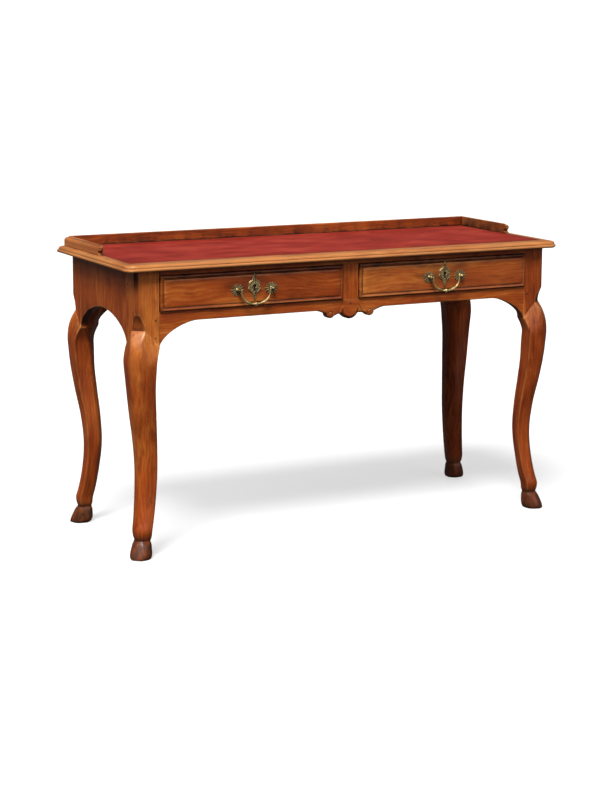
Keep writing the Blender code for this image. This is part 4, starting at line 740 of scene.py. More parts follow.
def scallop_edge(rails, bottom):
    """Lower edge of the scalloped middle, from the middle out: tongue, cusp, scroll and ogee.

    The tongue and the scroll are arcs, the cusp stands on straight lines and the ogee is a power curve.
    """
    x = np.linspace(0, rails.tongue_half, 44)
    tongue = joined(x, bottom - np.sqrt(rails.tongue ** 2 - x ** 2))
    cusp = np.array((rails.cusp_out, bottom - rails.cusp_drop))
    turn = np.radians(np.linspace(215, 360, 70))
    scroll = joined(rails.scroll_out + rails.scroll * np.cos(turn),
                    bottom - rails.scroll_drop + rails.scroll * (1 + np.sin(turn)))
    share = np.linspace(0, 1, 24)[1:]
    ogee = joined(lerp(scroll[-1, 0], rails.ogee_out, share), lerp(bottom, scroll[-1, 1], (1 - share) ** 1.5))
    return np.concatenate((tongue, lerp(tongue[-1], cusp, np.linspace(0, 1, 30)[1:, None]),
                           lerp(cusp, scroll[0], np.linspace(0, 1, 22)[1:-1, None]), scroll, ogee))


def scallop_relief(rails, bottom, x, z, low):
    """How far the face falls back in the scalloped middle.

    The tongue's rim is bevelled, a cut line climbs from each cusp, a spiral line winds into each
    scroll, and the lower edge is eased all along.
    """
    x = np.abs(x)
    inside = rails.tongue - np.hypot(x, z - bottom)
    rim = np.clip(1 - inside / 0.0075, 0, 1) * ease((rails.tongue_half + 0.002 - x) / 0.004) * (z < bottom)
    over_cusp = z - bottom + rails.cusp_drop
    climb = np.clip(over_cusp / 0.026, 0, 1)
    vein = bump(x - lerp(rails.cusp_out - 0.001, 0.0225, climb ** 1.3), 0.0013) * (over_cusp > 0)
    vein = vein * ease((1 - climb) / 0.3)
    dx, dz = x - rails.scroll_out, z - (bottom - rails.scroll_drop + rails.scroll)
    radius = np.hypot(dx, dz)
    angle = np.mod(np.arctan2(dz, dx) + 0.6, TURN)
    spiral = bump(radius - lerp(0.0036, 0.0088, angle / TURN), 0.0010)
    eye = bump(radius, 0.0022)
    eased = np.clip(1 - (z - low) / 0.0042, 0, 1) * ease((rails.ogee_out - x) / 0.01)
    return 0.0036 * rim + 0.0011 * vein + 0.0013 * spiral - 0.0004 * eye + 0.0017 * eased


def mirrored(*stretches):
    """Places along a board and heights of its lower edge, from stretches of its right half."""
    half = np.concatenate(stretches)
    return np.concatenate((half[:0:-1] * (-1, 1), half)).T


class TABLE_OT_aprons(bpy.types.Operator):
    """Build the scalloped front rail, the back apron and the arched side aprons"""

    bl_idname = "table.aprons"
    bl_label = "Rails and aprons"

    def execute(self, context):
        rails, legs, finish = context.scene.table_frame, context.scene.table_legs, context.scene.table_finish
        bottom, foot = SILL - rails.rail, FRAME_TOP - legs.arch_foot
        end_x, end_y = SIDE_X - legs.block - GAP, -FACE_Y - legs.block - GAP
        inward, rise = arch(rails.arch_run, bottom - foot, 1.6)
        end_arch = joined(end_x - inward, foot + rise)
        lengthwise = walnut(finish, "waxed_walnut_lengthwise", "X")
        upright = walnut(finish, "figured_walnut_upright", "Z")

        middle = scallop_edge(rails, bottom)
        straight = joined(np.linspace(middle[-1, 0], end_arch[0, 0], 60)[1:-1], bottom)
        x, low = mirrored(middle, straight, end_arch)
        rows = 100
        levels = face_levels(rails, SILL, low, rows)
        relief = scallop_relief(rails, bottom, x[:, None], levels, low[:, None])
        grid = apron_grid(rails, x, low, SILL, FACE_Y, rows, relief)
        stain_and_shade = lower_edge_shade_and_dirt(grid, rows)
        # The carved cuts and bevels are darkened by their depth, as painted shade
        stain_and_shade[:, :rows] += np.clip(relief / 0.0016, 0, 1) ** 1.5 * 0.65
        peg = dome((0, FACE_Y, SILL - rails.peg_in), (0, -1, 0), rails.peg, *PEG_END)
        add_piece("front_rail_scalloped", "front_apron_rail", [tube(grid, stain_and_shade), peg], lengthwise,
                  board=0.21, worn=0.002)

        x, low = mirrored(joined(np.linspace(0, end_arch[0, 0], 60)[:-1], bottom), end_arch)
        rows = 26
        grid = apron_grid(rails, x, low, FRAME_TOP, FACE_Y, rows) * (1, -1, 1)
        add_piece("back_apron_arched", "back_apron", [tube(grid, lower_edge_shade_and_dirt(grid, rows))], lengthwise,
                  board=0.83)

        inward, rise = arch(end_y, rails.side_rise, 1.75, 60)
        y, low = mirrored(joined(end_y - inward, foot + rails.side_foot + rise))
        rows = 40
        grid = apron_grid(rails, y, low, FRAME_TOP, -SIDE_X, rows)
        for side, right in SIDES:
            skin = tube(grid[..., (1, 0, 2)] * (-right, 1, 1), lower_edge_shade_and_dirt(grid, rows))
            add_piece("side_apron_arched_" + side, "side_apron_" + side, [skin], upright,
                      board=0.4 + 0.3 * right, tone=-0.03)
        return {"FINISHED"}


# Top

# Gap at a mitre, on each side of it
MITRE = 0.00015
# Dirt across the flat of the top's frame, from the moulding to the leather
LAND_STAIN = (0.06, 0.12, 0.18, 0.24, 0.32, 0.72)


def opening(top):
    """Inner edges of the top's frame: half its length, its front and its back."""
    return top.long / 2 - top.border_side, top.border_front - top.deep / 2, top.deep / 2 - top.border_side


def edge_profile(top):
    """Moulded edge, from the underside round the bead, into the quirk and up the ovolo: offset in, height."""
    turn = np.radians(np.linspace(-90, 78, 15))
    bead = joined(top.bead * (1 - np.cos(turn)), top.bead * (1 + np.sin(turn)))
    turn = np.linspace(0, QUARTER, 12)
    foot = TOP_HIGH - TOP_LOW - top.fillet - top.ovolo_rise
    ovolo = joined(top.ovolo_back + top.ovolo_reach * (1 - np.cos(turn)),
                   foot + top.ovolo_rise * np.sin(turn))
    fillet = np.array(((0.0002, -0.0001), (0.0005, 0.0008), (0.0016, top.fillet))) + ovolo[-1]
    return np.concatenate((bead, ovolo, fillet))


def border_ring(top, member, corner):
    """Section of a frame member at a corner of the top.

    It is the moulded edge set in from the outline, the flat to the inner edge and the way back
    underneath. The front corners are clipped at 45 degrees.
    """
    kind, side = corner.split("_")
    right, back = 1 if side == "right" else -1, 1 if kind == "back" else -1
    offset, height = edge_profile(top).T
    clip = np.maximum(top.clip - offset * (2 - ROOT2), 0.0)
    clip_x, clip_y = {"back": (0.0, 0.0), "side": (0.0, 1.0), "clip": (0.5, 0.5), "front": (1.0, 0.0)}[kind]
    edge = joined(right * (top.long / 2 - offset - clip_x * clip),
                  back * (top.deep / 2 - offset - clip_y * clip), height)
    in_x, in_front, in_back = opening(top)
    inner = np.array((right * in_x, in_back if kind == "back" else in_front, 0.0))
    lip = inner + (0, 0, TOP_HIGH - TOP_LOW)
    land = lerp(edge[-1], lip, np.linspace(0, 1, len(LAND_STAIN) + 1)[1:, None])
    land[-1, 2] -= 0.0004
    under = lerp(inner, edge[0], np.linspace(0, 1, 5)[:-1, None])
    along, across = (right, -back) if member in ("left", "right") else (-right, back)
    return np.concatenate((edge, land, under)) + (MITRE * along, MITRE * across, TOP_LOW)


def carried(rings, counts):
    """Rings mixed straight from each one to the next, in so many steps."""
    parts = [lerp(first, second, np.linspace(0, 1, count, endpoint=False)[:, None, None])
             for first, second, count in zip(rings, rings[1:], counts)]
    return np.concatenate((*parts, rings[-1:]))


class TABLE_OT_top(bpy.types.Operator):
    """Build the moulded frame of the top and the leather in it"""

    bl_idname = "table.top"
    bl_label = "Framed top"

    def execute(self, context):
        top, finish = context.scene.table_top, context.scene.table_finish
        in_x, in_front, in_back = opening(top)
        lengthwise = walnut(finish, "polished_walnut_lengthwise", "X", 0.30, faded=0.38)
        crosswise = walnut(finish, "polished_walnut_crosswise", "Y", 0.30, faded=0.38)
        members = (
            ("front", lengthwise, ("clip_left", "front_left", "front_right", "clip_right"), (4, 90, 4)),
            ("left", crosswise, ("back_left", "side_left", "clip_left"), (40, 4)),
            ("right", crosswise, ("back_right", "side_right", "clip_right"), (40, 4)),
            ("back", lengthwise, ("back_left", "back_right"), (90,)))
        for i, (side, material, corners, counts) in enumerate(members):
            rings = carried([border_ring(top, side, corner) for corner in corners], counts)
            # Hand-worked edge: it wanders by a tenth of a millimetre
            rings[..., 2] += 0.00012 * waves(rings[..., 0] * 3, rings[..., 1] * 3, i)
            stain_and_shade = np.zeros(rings.shape[1])
            land = len(edge_profile(top))
            stain_and_shade[land:land + len(LAND_STAIN)] = LAND_STAIN
            add_piece("top_border_moulded_" + side, "top_border_" + side, [tube(rings, stain_and_shade)], material,
                      board=0.55 + 0.4 * i, worn=0.0028)

        # Leather: a flat sheet, a little uneven where it is glued, its edge turned down
        u, v = np.meshgrid(np.linspace(-1, 1, 181), np.linspace(-1, 1, 65), indexing="ij")
        x, y = u * in_x, lerp(in_front, in_back, (v + 1) / 2)
        border = np.minimum(in_x - np.abs(x), np.minimum(y - in_front, in_back - y))
        z = TOP_HIGH - 0.0001 + 0.00012 * waves(x * 2, y * 3, 9) - 0.0005 * bump(border, 0.0014)
        stain_and_shade = 0.30 * bump(border, 0.006) + 0.10 * bump(border, 0.03) + 0.07 * ease(u)
        sheet = add_piece("leather_sheet", "leather_panel", [patch(joined(x, y, z), stain_and_shade=stain_and_shade)],
                          red_leather(finish), sharp=80)
        thicken = sheet.modifiers.new("thickness", "SOLIDIFY")
        thicken.thickness, thicken.offset = top.leather - GAP, -1.0
        return {"FINISHED"}


# Gallery

def gallery_profile(top):
    """Gallery section: outer points from the foot up, and the inner points level with them.

    Outside are an upright wall, an ovolo leaning in, a quirk and half a bead; inside the other half bead
    and a plain face.
    """
    bead, quirk = top.gallery_bead, 0.0009
    bead_in, bead_up = top.gallery - bead, top.gallery_high - bead
    wall = joined(0.0, np.linspace(0, top.gallery_wall, 6))
    turn = np.radians(np.linspace(0, 80, 14))[1:]
    lean = joined((bead_in - bead - quirk) * (1 - np.cos(turn)),
                  top.gallery_wall + (bead_up - top.gallery_wall - quirk) * np.sin(turn))
    turn = np.linspace(math.pi, QUARTER, 9)
    crown = joined(bead_in + bead * np.cos(turn), bead_up + bead * np.sin(turn))
    outer = np.concatenate((wall, lean, crown))
    lift = np.clip(outer[:, 1] - bead_up, 0, bead)
    return outer, joined(bead_in + np.sqrt(bead ** 2 - lift ** 2), outer[:, 1])


def gallery_end(top, up):
    """Where a side of the gallery ends in front at each height: a round nose, a scoop and a small toe."""
    nose = (top.gallery_high - top.gallery_wall) / 2
    middle = top.gallery_high - nose
    round_nose = top.gallery_front + nose - np.sqrt(np.maximum(nose ** 2 - (up - middle) ** 2, 0))
    scoop = top.gallery_front + 0.0072 * np.sin(np.clip(up / (middle - nose), 0, 1) * math.pi * 0.9 + 0.25)
    toe = top.gallery_front - 0.002
    return np.where(up > middle - nose * 0.7, round_nose, lerp(toe, scoop, ease(up / 0.004)))


class TABLE_OT_gallery(bpy.types.Operator):
    """Build the low gallery round three sides of the top"""

    bl_idname = "table.gallery"
    bl_label = "Gallery"

    def execute(self, context):
        top, finish = context.scene.table_top, context.scene.table_finish
        in_x, _, in_back = opening(top)
        x, y = in_x + top.gallery, in_back + top.gallery
        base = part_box("gallery_back")[0][2]
        outer, inner = gallery_profile(top)
        inset, up = np.concatenate((outer, inner[-2::-1])).T
        # The inner faces darken in blotches, more towards the foot, as painted shade
        inside = (inset > top.gallery - 0.0005) * (0.42 + 0.3 * np.clip(1 - up / top.gallery_high, 0, 1))
        # Painted shade along the foot and in the quirk under the bead
        quirk = top.gallery_high - top.gallery_bead - 0.0006
        lines = 0.6 * bump(up, 0.0015) + 0.75 * bump(up - quirk, 0.0011) * (inset < top.gallery / 2)
        across = np.linspace(-1, 1, 121)[:, None]
        blotch = ease(0.45 + 0.9 * waves(across * 8.8525, up * 60, 9))
        grid = joined(across * (x - GAP - inset), y - inset, up + base)
        add_piece("gallery_back_moulded", "gallery_back", [tube(grid, lines + inside * blotch)],
                  walnut(finish, "gallery_walnut_lengthwise", "X", 0.30), board=1.3, tone=-0.05, worn=0.002)

        material = walnut(finish, "gallery_walnut_crosswise", "Y", 0.30, faded=0.26)
        along = np.linspace(0, 1, 60)[:, None] ** 0.8
        back_end = y - 2 * GAP
        face_in, face_up = np.moveaxis(np.stack((outer, inner), axis=1), -1, 0)
        for side, right in SIDES:
            run = lerp(back_end - inset, gallery_end(top, up), along)
            # Painted shade on the inner face, in waves, with the foot and quirk lines
            stain_and_shade = lines + inside * (1.05 + 0.45 * waves(along * 4, up * 60, 5 + right))
            skins = [patch(joined(right * (x - inset), run, up + base), True, stain_and_shade)]
            # Both ends: strips from the outer to the inner face at each height, a little dark all over and
            # darkest in the scoop under the nose as painted shade
            for place in (back_end - face_in, gallery_end(top, face_up)):
                skins.append(patch(joined(right * (x - face_in), place, face_up + base),
                                   stain_and_shade=0.15 + 0.6 * bump(face_up - 0.007, 0.006)))
            add_piece("gallery_moulded_" + side, "gallery_" + side, skins, material, board=1.7 + 0.2 * right,
                      worn=0.002)
        return {"FINISHED"}


# Drawers

# Lines of a drawer front's grid: beside the lock's pocket, across it, and below or above its floor
BESIDE, ACROSS, UPWARD = 28, 7, 8


def flat(x, y, z):
    """Flat skin over two lists of places, with the third place fixed."""
    grid = np.stack(np.meshgrid(*map(np.atleast_1d, (x, y, z)), indexing="ij"), axis=-1)
    return patch(grid.reshape(*(n for n in grid.shape[:3] if n > 1), 3))


def front_lines(half_x, low, high, room_x, room_z):
    """Places across and up a drawer front that also follow the sides and the floor of the lock's pocket."""
    x = np.concatenate((np.linspace(-half_x, -room_x, BESIDE), np.linspace(-room_x, room_x, ACROSS)[1:-1],
                        np.linspace(room_x, half_x, BESIDE)))
    return x, np.concatenate((np.linspace(low, room_z, UPWARD), np.linspace(room_z, high, UPWARD)[1:]))


def frame_loop(x, z, y):
    """Rectangle in a plane of the front, walked round with the points of a grid's edge."""
    low, right = joined(x, z[0]), joined(x[-1], z)
    high, left = joined(x, z[-1])[::-1], joined(x[0], z)[::-1]
    across, up = np.concatenate((low, right[1:], high[1:], left[1:-1])).T
    return joined(across, y, up)


def front_profile(sizes):
    """Moulded edge of a drawer front: inset from the edge, and distance out from the frame's face.

    It is a quarter round, a cove that falls as a sine, and the step up to the field.
    """
    turn = np.linspace(0, QUARTER, 12)
    ovolo = joined(sizes.ovolo * (1 - np.cos(turn)), 0.001 + sizes.ovolo * np.sin(turn))
    turn = np.linspace(0, QUARTER, 8)
    cove = ovolo[-1] + (0.0010, -0.0010) + joined(sizes.cove * np.sin(turn), -0.002 * np.sin(turn))
    step = joined(cove[-1, 0] + np.array((0.0003, 0.0006, 0.0016)),
                  (cove[-1, 1] + 0.0002, sizes.field - 0.0004, sizes.field))
    return np.concatenate((ovolo, cove, step))


def front_skins(sizes):
    """Drawer front: moulded rectangles from the edge in, an uneven field, and the stepped back behind.

    Behind the lap the board is narrower by the drawer sides and has a pocket for the lock, open above.
    """
    half, low, high = sizes.wide / 2, GAP, GAP + sizes.high
    room_x, room_z = sizes.lock_wide / 2 + GAP, high - sizes.lock_high - GAP
    room_y = sizes.thick - sizes.lock_deep - 2 * GAP
    profile = front_profile(sizes)
    lines = [front_lines(half - inset, low + inset, high - inset, room_x, room_z) for inset, _ in profile]
    loops = [frame_loop(x, z, -out) for (x, z), (_, out) in zip(lines, profile)]
    core_x, core_z = front_lines(half - sizes.side, low, high, room_x, room_z)
    skin = np.stack([frame_loop(core_x, core_z, sizes.lap), frame_loop(*lines[0], sizes.lap)] + loops)
    # None on the two loops at the lap; dirt and painted shade on the ovolo; painted shade in the cove and at
    # the step; a painted shadow of the top's overhang along the top
    stain_and_shade = np.concatenate(((0, 0), 0.26 + 0.70 * np.linspace(1, 0, 12) ** 2, np.full(8, 0.20),
                            (0.22, 0.22, 0)))
    stain_and_shade = stain_and_shade[:, None] + 0.30 * ease((skin[..., 2] - high + 0.020) / 0.014)
    x, z = np.meshgrid(*lines[-1], indexing="ij")
    edge = np.minimum(x.max() - np.abs(x), np.minimum(z - z.min(), z.max() - z))
    field = joined(x, -sizes.field - 0.0002 * waves(x * 2, z * 4, 4) * ease(edge / 0.01), z)
    # The field darkens round the mounts, and across its upper part as a painted shadow of the top's overhang
    halo = 0.36 * np.exp(-((x / 0.068) ** 2 + ((z - sizes.key_up) / 0.034) ** 2) ** 2)
    skins = [patch(skin, True, stain_and_shade), patch(field, stain_and_shade=halo + 0.30 * ease((z - high + 0.028) / 0.018))]

    # Core behind the lap, round the pocket
    y = np.array((sizes.lap, room_y, sizes.thick))
    left, right = core_x[:BESIDE], core_x[-BESIDE:]
    middle = core_x[BESIDE - 1:1 - BESIDE]
    under, over = core_z[:UPWARD], core_z[UPWARD - 1:]
    skins += [flat(core_x, y, low), flat(core_x[0], y, core_z), flat(core_x[-1], y, core_z),
              flat(left, y, high), flat(right, y, high), flat(middle, y[:2], high),
              flat(middle, room_y, over), flat(middle, y[1:], room_z),
              flat(-room_x, y[1:], over), flat(room_x, y[1:], over), flat(left, sizes.thick, core_z),
              flat(right, sizes.thick, core_z), flat(middle, sizes.thick, under)]
    # Pins: the wood between three tails, which widen towards the front
    pitch = (sizes.side_high - low) / 3
    slim = pitch * 0.1 - GAP
    wide = slim + 0.003
    ends_y = np.array((sizes.thick, sizes.lap - 0.0002))[[0, 1, 1, 0]]
    for side in (-1, 1):
        ends_x = side * np.array((half - sizes.side - 0.0002, half))[:, None]
        for i in range(4):
            ends_z = np.maximum(low + pitch * i + np.array((-wide, -slim, slim, wide)), low)
            if i == 3:
                ends_z[2:] = high
            skins.append(tube(joined(ends_x, ends_y, ends_z)))
    return skins


class TABLE_OT_drawer_fronts(bpy.types.Operator):
    """Build the moulded drawer fronts"""

    bl_idname = "table.drawer_fronts"
    bl_label = "Drawer fronts"

    def execute(self, context):
        sizes, finish = context.scene.table_drawers, context.scene.table_finish
        # Each front pales by so much of its tone in a metre to the left
        pale = 0.20
        for i, (side, right) in enumerate(SIDES):
            material = walnut(finish, side + "_drawer_walnut", "X", 0.30, faded=0.05 * i)
            x = right * DRAWER_X
            add_piece(side + "_drawer_front_moulded", side + "_drawer_front",
                      moved(front_skins(sizes), (x, FACE_Y, SILL)), material, body="drawer_" + side,
                      board=2.1 + 0.9 * i, tone=(-0.015, 0.03)[i] + pale * x, fade=(-pale, 0, 0), worn=0.0017)
        return {"FINISHED"}


# Brass mounts

def escutcheon_skins():
    """Keyhole plate: in rings from the keyhole to the outline, with a dome, a rim, ribs and two nails.

    The outline's radius is an oval with six waves, and bells added for the spire above, the drop below
    and the ears. The keyhole is a round hole over a slot, closed behind by a floor painted dark as the shade
    in the hole.
    """
    turn = np.linspace(-math.pi, math.pi, 144, endpoint=False)
    away, sine, cosine = np.abs(turn), np.sin(turn), np.cos(turn)
    wide, high = 0.0165, 0.020
    radius = wide * high / np.hypot(high * sine, wide * cosine) + 0.0011 * np.cos(6 * turn)
    radius = radius + 0.011 * bump(away, 0.16) + 0.014 * bump(away - math.pi, 0.15)
    radius = radius + 0.0016 * bump(away - 1.85, 0.16) - 0.0012 * bump(away - 0.42, 0.15)
    slot = np.minimum(0.0128 / np.maximum(-cosine, 0.05), 0.0026 / np.maximum(np.abs(sine), 1e-3))
    hole = np.maximum(0.0048, np.where(cosine < -0.05, slot, 0.0))
    share = np.linspace(0, 1, 22)[:, None]
    r = lerp(hole, radius, share)
    lift = 0.0013 + 0.0011 * np.sqrt(1 - share ** 2) + 0.0009 * bump(share - 0.86, 0.06)
    lift = lift + 0.0009 * bump(share - 0.10, 0.09) + 0.0018 * np.cos(12 * turn) * share * (1 - share)
    face = joined(r * sine, -lift, r * cosine)
    rim, well = face[-1:] * (1, 0, 1), face[:1] * (1, 0, 1) - (0, 0.0001, 0)
    floor = well * (0, 1, 0) - (0, 0, 0.001)
    stain_and_shade = 0.12 + 0.60 * bump(share - 0.66, 0.12) + 0.35 * bump(share - 0.34, 0.10)
    stain_and_shade = stain_and_shade + 0.25 * (bump(away, 0.35) + bump(away - math.pi, 0.35)) * ease((share - 0.5) / 0.3)
    # The floor and the well of the keyhole are painted black, as the shade inside the hole
    stain_and_shade = np.concatenate((np.ones((2, len(turn))), stain_and_shade, np.zeros((2, len(turn)))))
    nails = [dome((0, -0.0020, up), (0, -1, 0), 0.0016, 0.0006, 0.1) for up in (0.0164, -0.0180)]
    return [patch(np.concatenate((floor, well, face, rim, rim * 0)), True, stain_and_shade), *nails]


def rosette_skins():
    """Leafy rosette: rings out to fourteen pointed leaves, each ridged along its middle, round a low boss."""
    turn = np.linspace(0, TURN, 192, endpoint=False)
    leaf = np.abs(np.mod(turn * 14 / TURN + 0.5, 1) - 0.5) * 2
    radius = 0.0172 - 0.0056 * leaf ** 0.9 + 0.0010 * np.cos(2 * turn)
    share = np.linspace(0, 1, 20)[:, None]
    r = radius * share
    ridge = (1 - leaf) * ease((share - 0.25) / 0.3)
    lift = 0.0010 + 0.0022 * bump(share, 0.33) + 0.0004 * bump(share - 0.42, 0.06)
    lift = lift + 0.0014 * ridge * (1 - 0.45 * share)
    face = joined(r * np.cos(turn), -lift, r * np.sin(turn))
    rim = face[-1:] * (1, 0, 1)
    stain_and_shade = 0.24 + 0.85 * leaf ** 1.5 * ease((share - 0.2) / 0.3) + 0.6 * bump(share - 0.33, 0.09)
    return [patch(np.concatenate((face, rim, rim * 0)), True, np.pad(stain_and_shade, ((0, 2), (0, 0))))]


def turned(profile, sides):
    """Turned skin: a profile of radius and distance forward, spun about the line towards the front."""
    radius, forward = np.array(profile).T[..., None]
    turn = np.linspace(0, TURN, sides, endpoint=False)
    return patch(joined(radius * np.cos(turn), -forward, radius * np.sin(turn)), True)


def post_skins(sizes):
    """Turned post: collar on the rosette, waisted neck and a round head with a small button."""
    foot = ((0.0, 0.0), (0.0052, 0.0), (0.0054, 0.0026), (0.0052, 0.0034), (0.0044, 0.0040), (0.0030, 0.0046),
            (0.0023, 0.0056), (0.0022, 0.0068))
    turn = np.radians(np.linspace(152, 0, 16))
    head = joined(sizes.post * np.sin(turn), sizes.reach + sizes.post * np.cos(turn))
    button = np.array(((0.0, 0.0), (0.0012, 0.0), (0.0013, 0.0004), (0.0008, 0.0010), (0.0, 0.0012)))
    return [turned((*foot, *head), 28), turned(button + (0, sizes.reach + sizes.post - GAP), 14)]


def bail_skins(sizes):
    """Bail: a round wire carried along a U, swelling on both sides, with a ball and collars in the middle.

    Along the U the distance across is a cosine and the drop a power of a sine; the wire's radius is its
    base plus bells for the swellings and the collars, and the ball is a circle.
    """
    half, clear = sizes.spread / 2, sizes.post + 0.0004
    share = np.linspace(0, 1, 181)
    sine, cosine = np.sin(math.pi * share), np.cos(math.pi * share)
    across = -(half - clear - sizes.bail) * cosine * (1 + 0.10 * sine ** 2)
    middle = np.abs(share - 0.5)
    radius = sizes.bail + 0.0018 * bump(middle - 0.17, 0.09) - 0.0010 * bump(middle - 0.062, 0.022)
    radius = np.maximum(radius, np.sqrt(np.maximum(sizes.bail_ball ** 2 - (middle * 0.128) ** 2, 0)))
    radius = radius + 0.0010 * bump(middle - 0.052, 0.004) + 0.0008 * bump(middle - 0.084, 0.004)
    # A pin at each end, in the head of its post
    pin = np.array((half + sizes.post / 2, half - clear))
    x = np.concatenate((-pin, across, pin[::-1]))
    z = np.pad(-sizes.bail_drop * sine ** 0.85, 2)
    radius = np.pad(radius, 2, constant_values=sizes.bail_pin)[:, None]
    slope = joined(np.gradient(x), np.gradient(z))
    slope = slope / np.linalg.norm(slope, axis=1, keepdims=True)
    turn = np.linspace(0, TURN, 22, endpoint=False)
    out = radius * np.cos(turn)
    rings = joined(x[:, None] - slope[:, 1:] * out, radius * np.sin(turn), z[:, None] + slope[:, :1] * out)
    # Hands keep it bright all over
    return [tube(rings, stain_and_shade=-0.5)]


class TABLE_OT_mounts(bpy.types.Operator):
    """Build the brass: escutcheons, rosettes, posts and bails"""

    bl_idname = "table.mounts"
    bl_label = "Brass mounts"

    def execute(self, context):
        sizes = context.scene.table_drawers
        material = old_brass(context.scene.table_finish)
        field = FACE_Y - sizes.field
        up = SILL + sizes.pull_up
        # Radii at which the edges of the castings and of the turned brass are rubbed
        cast, smooth = 0.0009, 0.0012
        for side, right in SIDES:
            x, body = right * DRAWER_X, "drawer_" + side
            place = (x, field - GAP, SILL + sizes.key_up)
            mounts = [("_escutcheon_cast", "_escutcheon", escutcheon_skins(), place, body, cast)]
            for hand, sign in SIDES:
                post_x = x + sign * sizes.spread / 2
                mounts += [("_rosette_cast_" + hand, "_pull_rosette_" + hand, rosette_skins(),
                            (post_x, field - GAP, up), body, cast),
                           ("_post_turned_" + hand, "_pull_post_" + hand, post_skins(sizes),
                            (post_x, field, up), body, smooth)]
            place = (x, field - sizes.reach, up)
            mounts.append(("_bail_cast", "_bail", bail_skins(sizes), place, "bail_" + side, smooth))
            for name, node_name, skins, place, body, worn in mounts:
                add_piece(side + name, side + node_name, moved(skins, place), material, body,
                          worn=worn, sharp=60)
        return {"FINISHED"}


# Carcass

class TABLE_OT_carcass(bpy.types.Operator):
    """Give the plain CAD pieces inside the table their wood and iron"""

    bl_idname = "table.carcass"
    bl_label = "Carcass"

    def execute(self, context):
        finish = context.scene.table_finish
        oak_x, oak_y = oak(finish, "dry_oak_lengthwise", "X"), oak(finish, "dry_oak_crosswise", "Y")
        iron = dull_iron(finish)
        kinds = {"top_rail": walnut(finish, "rail_walnut", "X"),
                 "centre_stile": walnut(finish, "stile_walnut", "Z"), "top_core": oak_x}
        for name in ("side_runner_left", "side_runner_right", "centre_runner", "side_guide_left",
                     "side_guide_right", "centre_guide", "kicker_left", "kicker_right", "kicker_centre"):
            kinds[name] = oak_y
        for side, _ in SIDES:
            for part, material in (("drawer_side_left", oak_y), ("drawer_side_right", oak_y),
                                   ("drawer_back", oak_x), ("drawer_bottom", oak_x), ("lock_case", iron),
                                   ("lock_bolt", iron), ("pull_nut_left", iron), ("pull_nut_right", iron)):
                kinds[side + "_" + part] = material
        for name, material in kinds.items():
            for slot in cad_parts[name].material_slots:
                slot.material = material
        return {"FINISHED"}


# Stage

CAMERA_AT = (-2.4210, -4.6356, 1.3462)
CAMERA_YAW, CAMERA_PITCH, CAMERA_ROLL = 0.4889, 0.1788, 0.0058
PHOTO_WIDE, PHOTO_HIGH = 600, 800
FOCAL_PX, CENTRE_X_PX, CENTRE_Y_PX = 1983.22, 325.90, 368.43
# Lights: name, direction to it, spread in degrees and power
LIGHTS = (("key", (-0.36, -0.42, 0.84), 20.0, 3.7), ("left", (-0.64, -0.30, 0.70), 34.0, 1.0),
          ("front", (0.30, -0.85, 0.42), 45.0, 0.70), ("back", (0.30, 0.85, 0.55), 50.0, 0.8))
# The floor lies flat out to the first radius, then sweeps up as far as the second, to the height
FLOOR_FLAT, FLOOR_END, FLOOR_RISE = 30.0, 48.0, 14.0
# Strength of the white light that comes from all sides
ROOM_LIGHT = 0.09


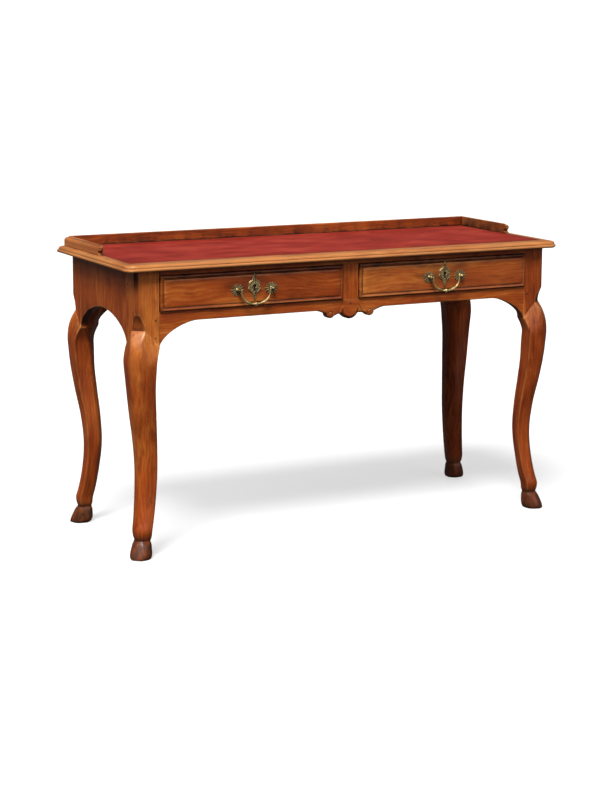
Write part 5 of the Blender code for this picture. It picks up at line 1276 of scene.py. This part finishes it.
class TABLE_OT_stage(bpy.types.Operator):
    """Set the pale floor, the soft lights and the camera"""

    bl_idname = "table.stage"
    bl_label = "Stage"

    def execute(self, context):
        scene = context.scene
        scene.view_settings.view_transform = "Standard"
        scene.world = bpy.data.worlds.new("soft_room")
        scene.world.use_nodes = True
        back = scene.world.node_tree.nodes["Background"]
        back.inputs["Color"].default_value = (1.0, 1.0, 1.0, 1.0)
        back.inputs["Strength"].default_value = ROOM_LIGHT

        # Floor: a wide flat disc that sweeps up to a pale wall all round, far from the table
        reach = np.concatenate(((0.0, 3.0, 12.0), np.linspace(FLOOR_FLAT, FLOOR_END, 13)))[:, None]
        turn = np.linspace(0, TURN, 64, endpoint=False)
        sweep = np.clip((reach - FLOOR_FLAT) / (FLOOR_END - FLOOR_FLAT), 0, 1) * QUARTER
        rise = FLOOR_RISE * (1 - np.cos(sweep)) - 0.0002
        points, cells, _ = patch(joined(reach * np.cos(turn), reach * np.sin(turn), rise), True)
        floor = bpy.data.meshes.new("floor")
        floor.from_pydata(points, [], cells[:, ::-1])
        floor.shade_smooth()
        floor.materials.append(pale_floor())
        plane = bpy.data.objects.new("floor", floor)
        scene.collection.objects.link(plane)
        # The floor stays pale to the camera but throws no light up under the table
        plane.visible_diffuse = plane.visible_glossy = False

        for name, (x, y, z), spread, power in LIGHTS:
            light = bpy.data.lights.new(name, "SUN")
            light.angle, light.energy = math.radians(spread), power
            lamp = bpy.data.objects.new(name, light)
            lamp.rotation_euler = (math.atan2(math.hypot(x, y), z), 0.0, math.atan2(x, -y))
            # The light from behind must not glare off the leather
            lamp.visible_glossy = name != "back"
            scene.collection.objects.link(lamp)

        yaw, pitch, roll = CAMERA_YAW, CAMERA_PITCH, CAMERA_ROLL
        ahead = np.array((math.sin(yaw) * math.cos(pitch), math.cos(yaw) * math.cos(pitch), -math.sin(pitch)))
        right = np.array((math.cos(yaw), -math.sin(yaw), 0.0))
        up = np.cross(right, ahead)
        across = math.cos(roll) * right + math.sin(roll) * up
        upward = -math.sin(roll) * right + math.cos(roll) * up
        turn = np.stack((across, upward, -ahead), axis=1)
        lens = bpy.data.cameras.new("camera")
        lens.sensor_width = 36.0
        lens.lens = FOCAL_PX * lens.sensor_width / PHOTO_HIGH
        lens.shift_x = (PHOTO_WIDE / 2 - CENTRE_X_PX) / PHOTO_HIGH
        lens.shift_y = (CENTRE_Y_PX - PHOTO_HIGH / 2) / PHOTO_HIGH
        lens.clip_end = 200.0
        camera = bpy.data.objects.new("camera", lens)
        camera.matrix_world = Matrix.Translation(CAMERA_AT) @ Matrix(turn.tolist()).to_4x4()
        scene.collection.objects.link(camera)
        scene.camera = camera
        return {"FINISHED"}


# Add-on

SETTINGS = {"table_legs": LegSizes, "table_frame": FrameSizes, "table_top": TopSizes,
            "table_drawers": DrawerSizes, "table_finish": Finishes}
OPERATORS = (TABLE_OT_legs, TABLE_OT_aprons, TABLE_OT_top, TABLE_OT_gallery, TABLE_OT_drawer_fronts,
             TABLE_OT_mounts, TABLE_OT_carcass, TABLE_OT_stage)


class TABLE_PT_panel(bpy.types.Panel):
    """Lists the steps that build the table, with their sizes and colours"""

    bl_idname = "TABLE_PT_panel"
    bl_label = "Writing table"
    bl_space_type = "VIEW_3D"
    bl_region_type = "UI"
    bl_category = "Table"

    def draw(self, context):
        for step in OPERATORS:
            self.layout.operator(step.bl_idname)
        for key, group in SETTINGS.items():
            box = self.layout.box()
            for name in group.__annotations__:
                box.prop(getattr(context.scene, key), name)


def register():
    for group in SETTINGS.values():
        bpy.utils.register_class(group)
    for key, group in SETTINGS.items():
        setattr(bpy.types.Scene, key, bpy.props.PointerProperty(type=group))
    for step in (*OPERATORS, TABLE_PT_panel):
        bpy.utils.register_class(step)


def unregister():
    for step in reversed((*OPERATORS, TABLE_PT_panel)):
        bpy.utils.unregister_class(step)
    for key, group in SETTINGS.items():
        delattr(bpy.types.Scene, key)
        bpy.utils.unregister_class(group)


def main():
    """Register the add-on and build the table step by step."""
    register()
    bpy.ops.table.legs()
    bpy.ops.table.aprons()
    bpy.ops.table.top()
    bpy.ops.table.gallery()
    bpy.ops.table.drawer_fronts()
    bpy.ops.table.mounts()
    bpy.ops.table.carcass()
    bpy.ops.table.stage()


if __name__ == "__main__":
    main()
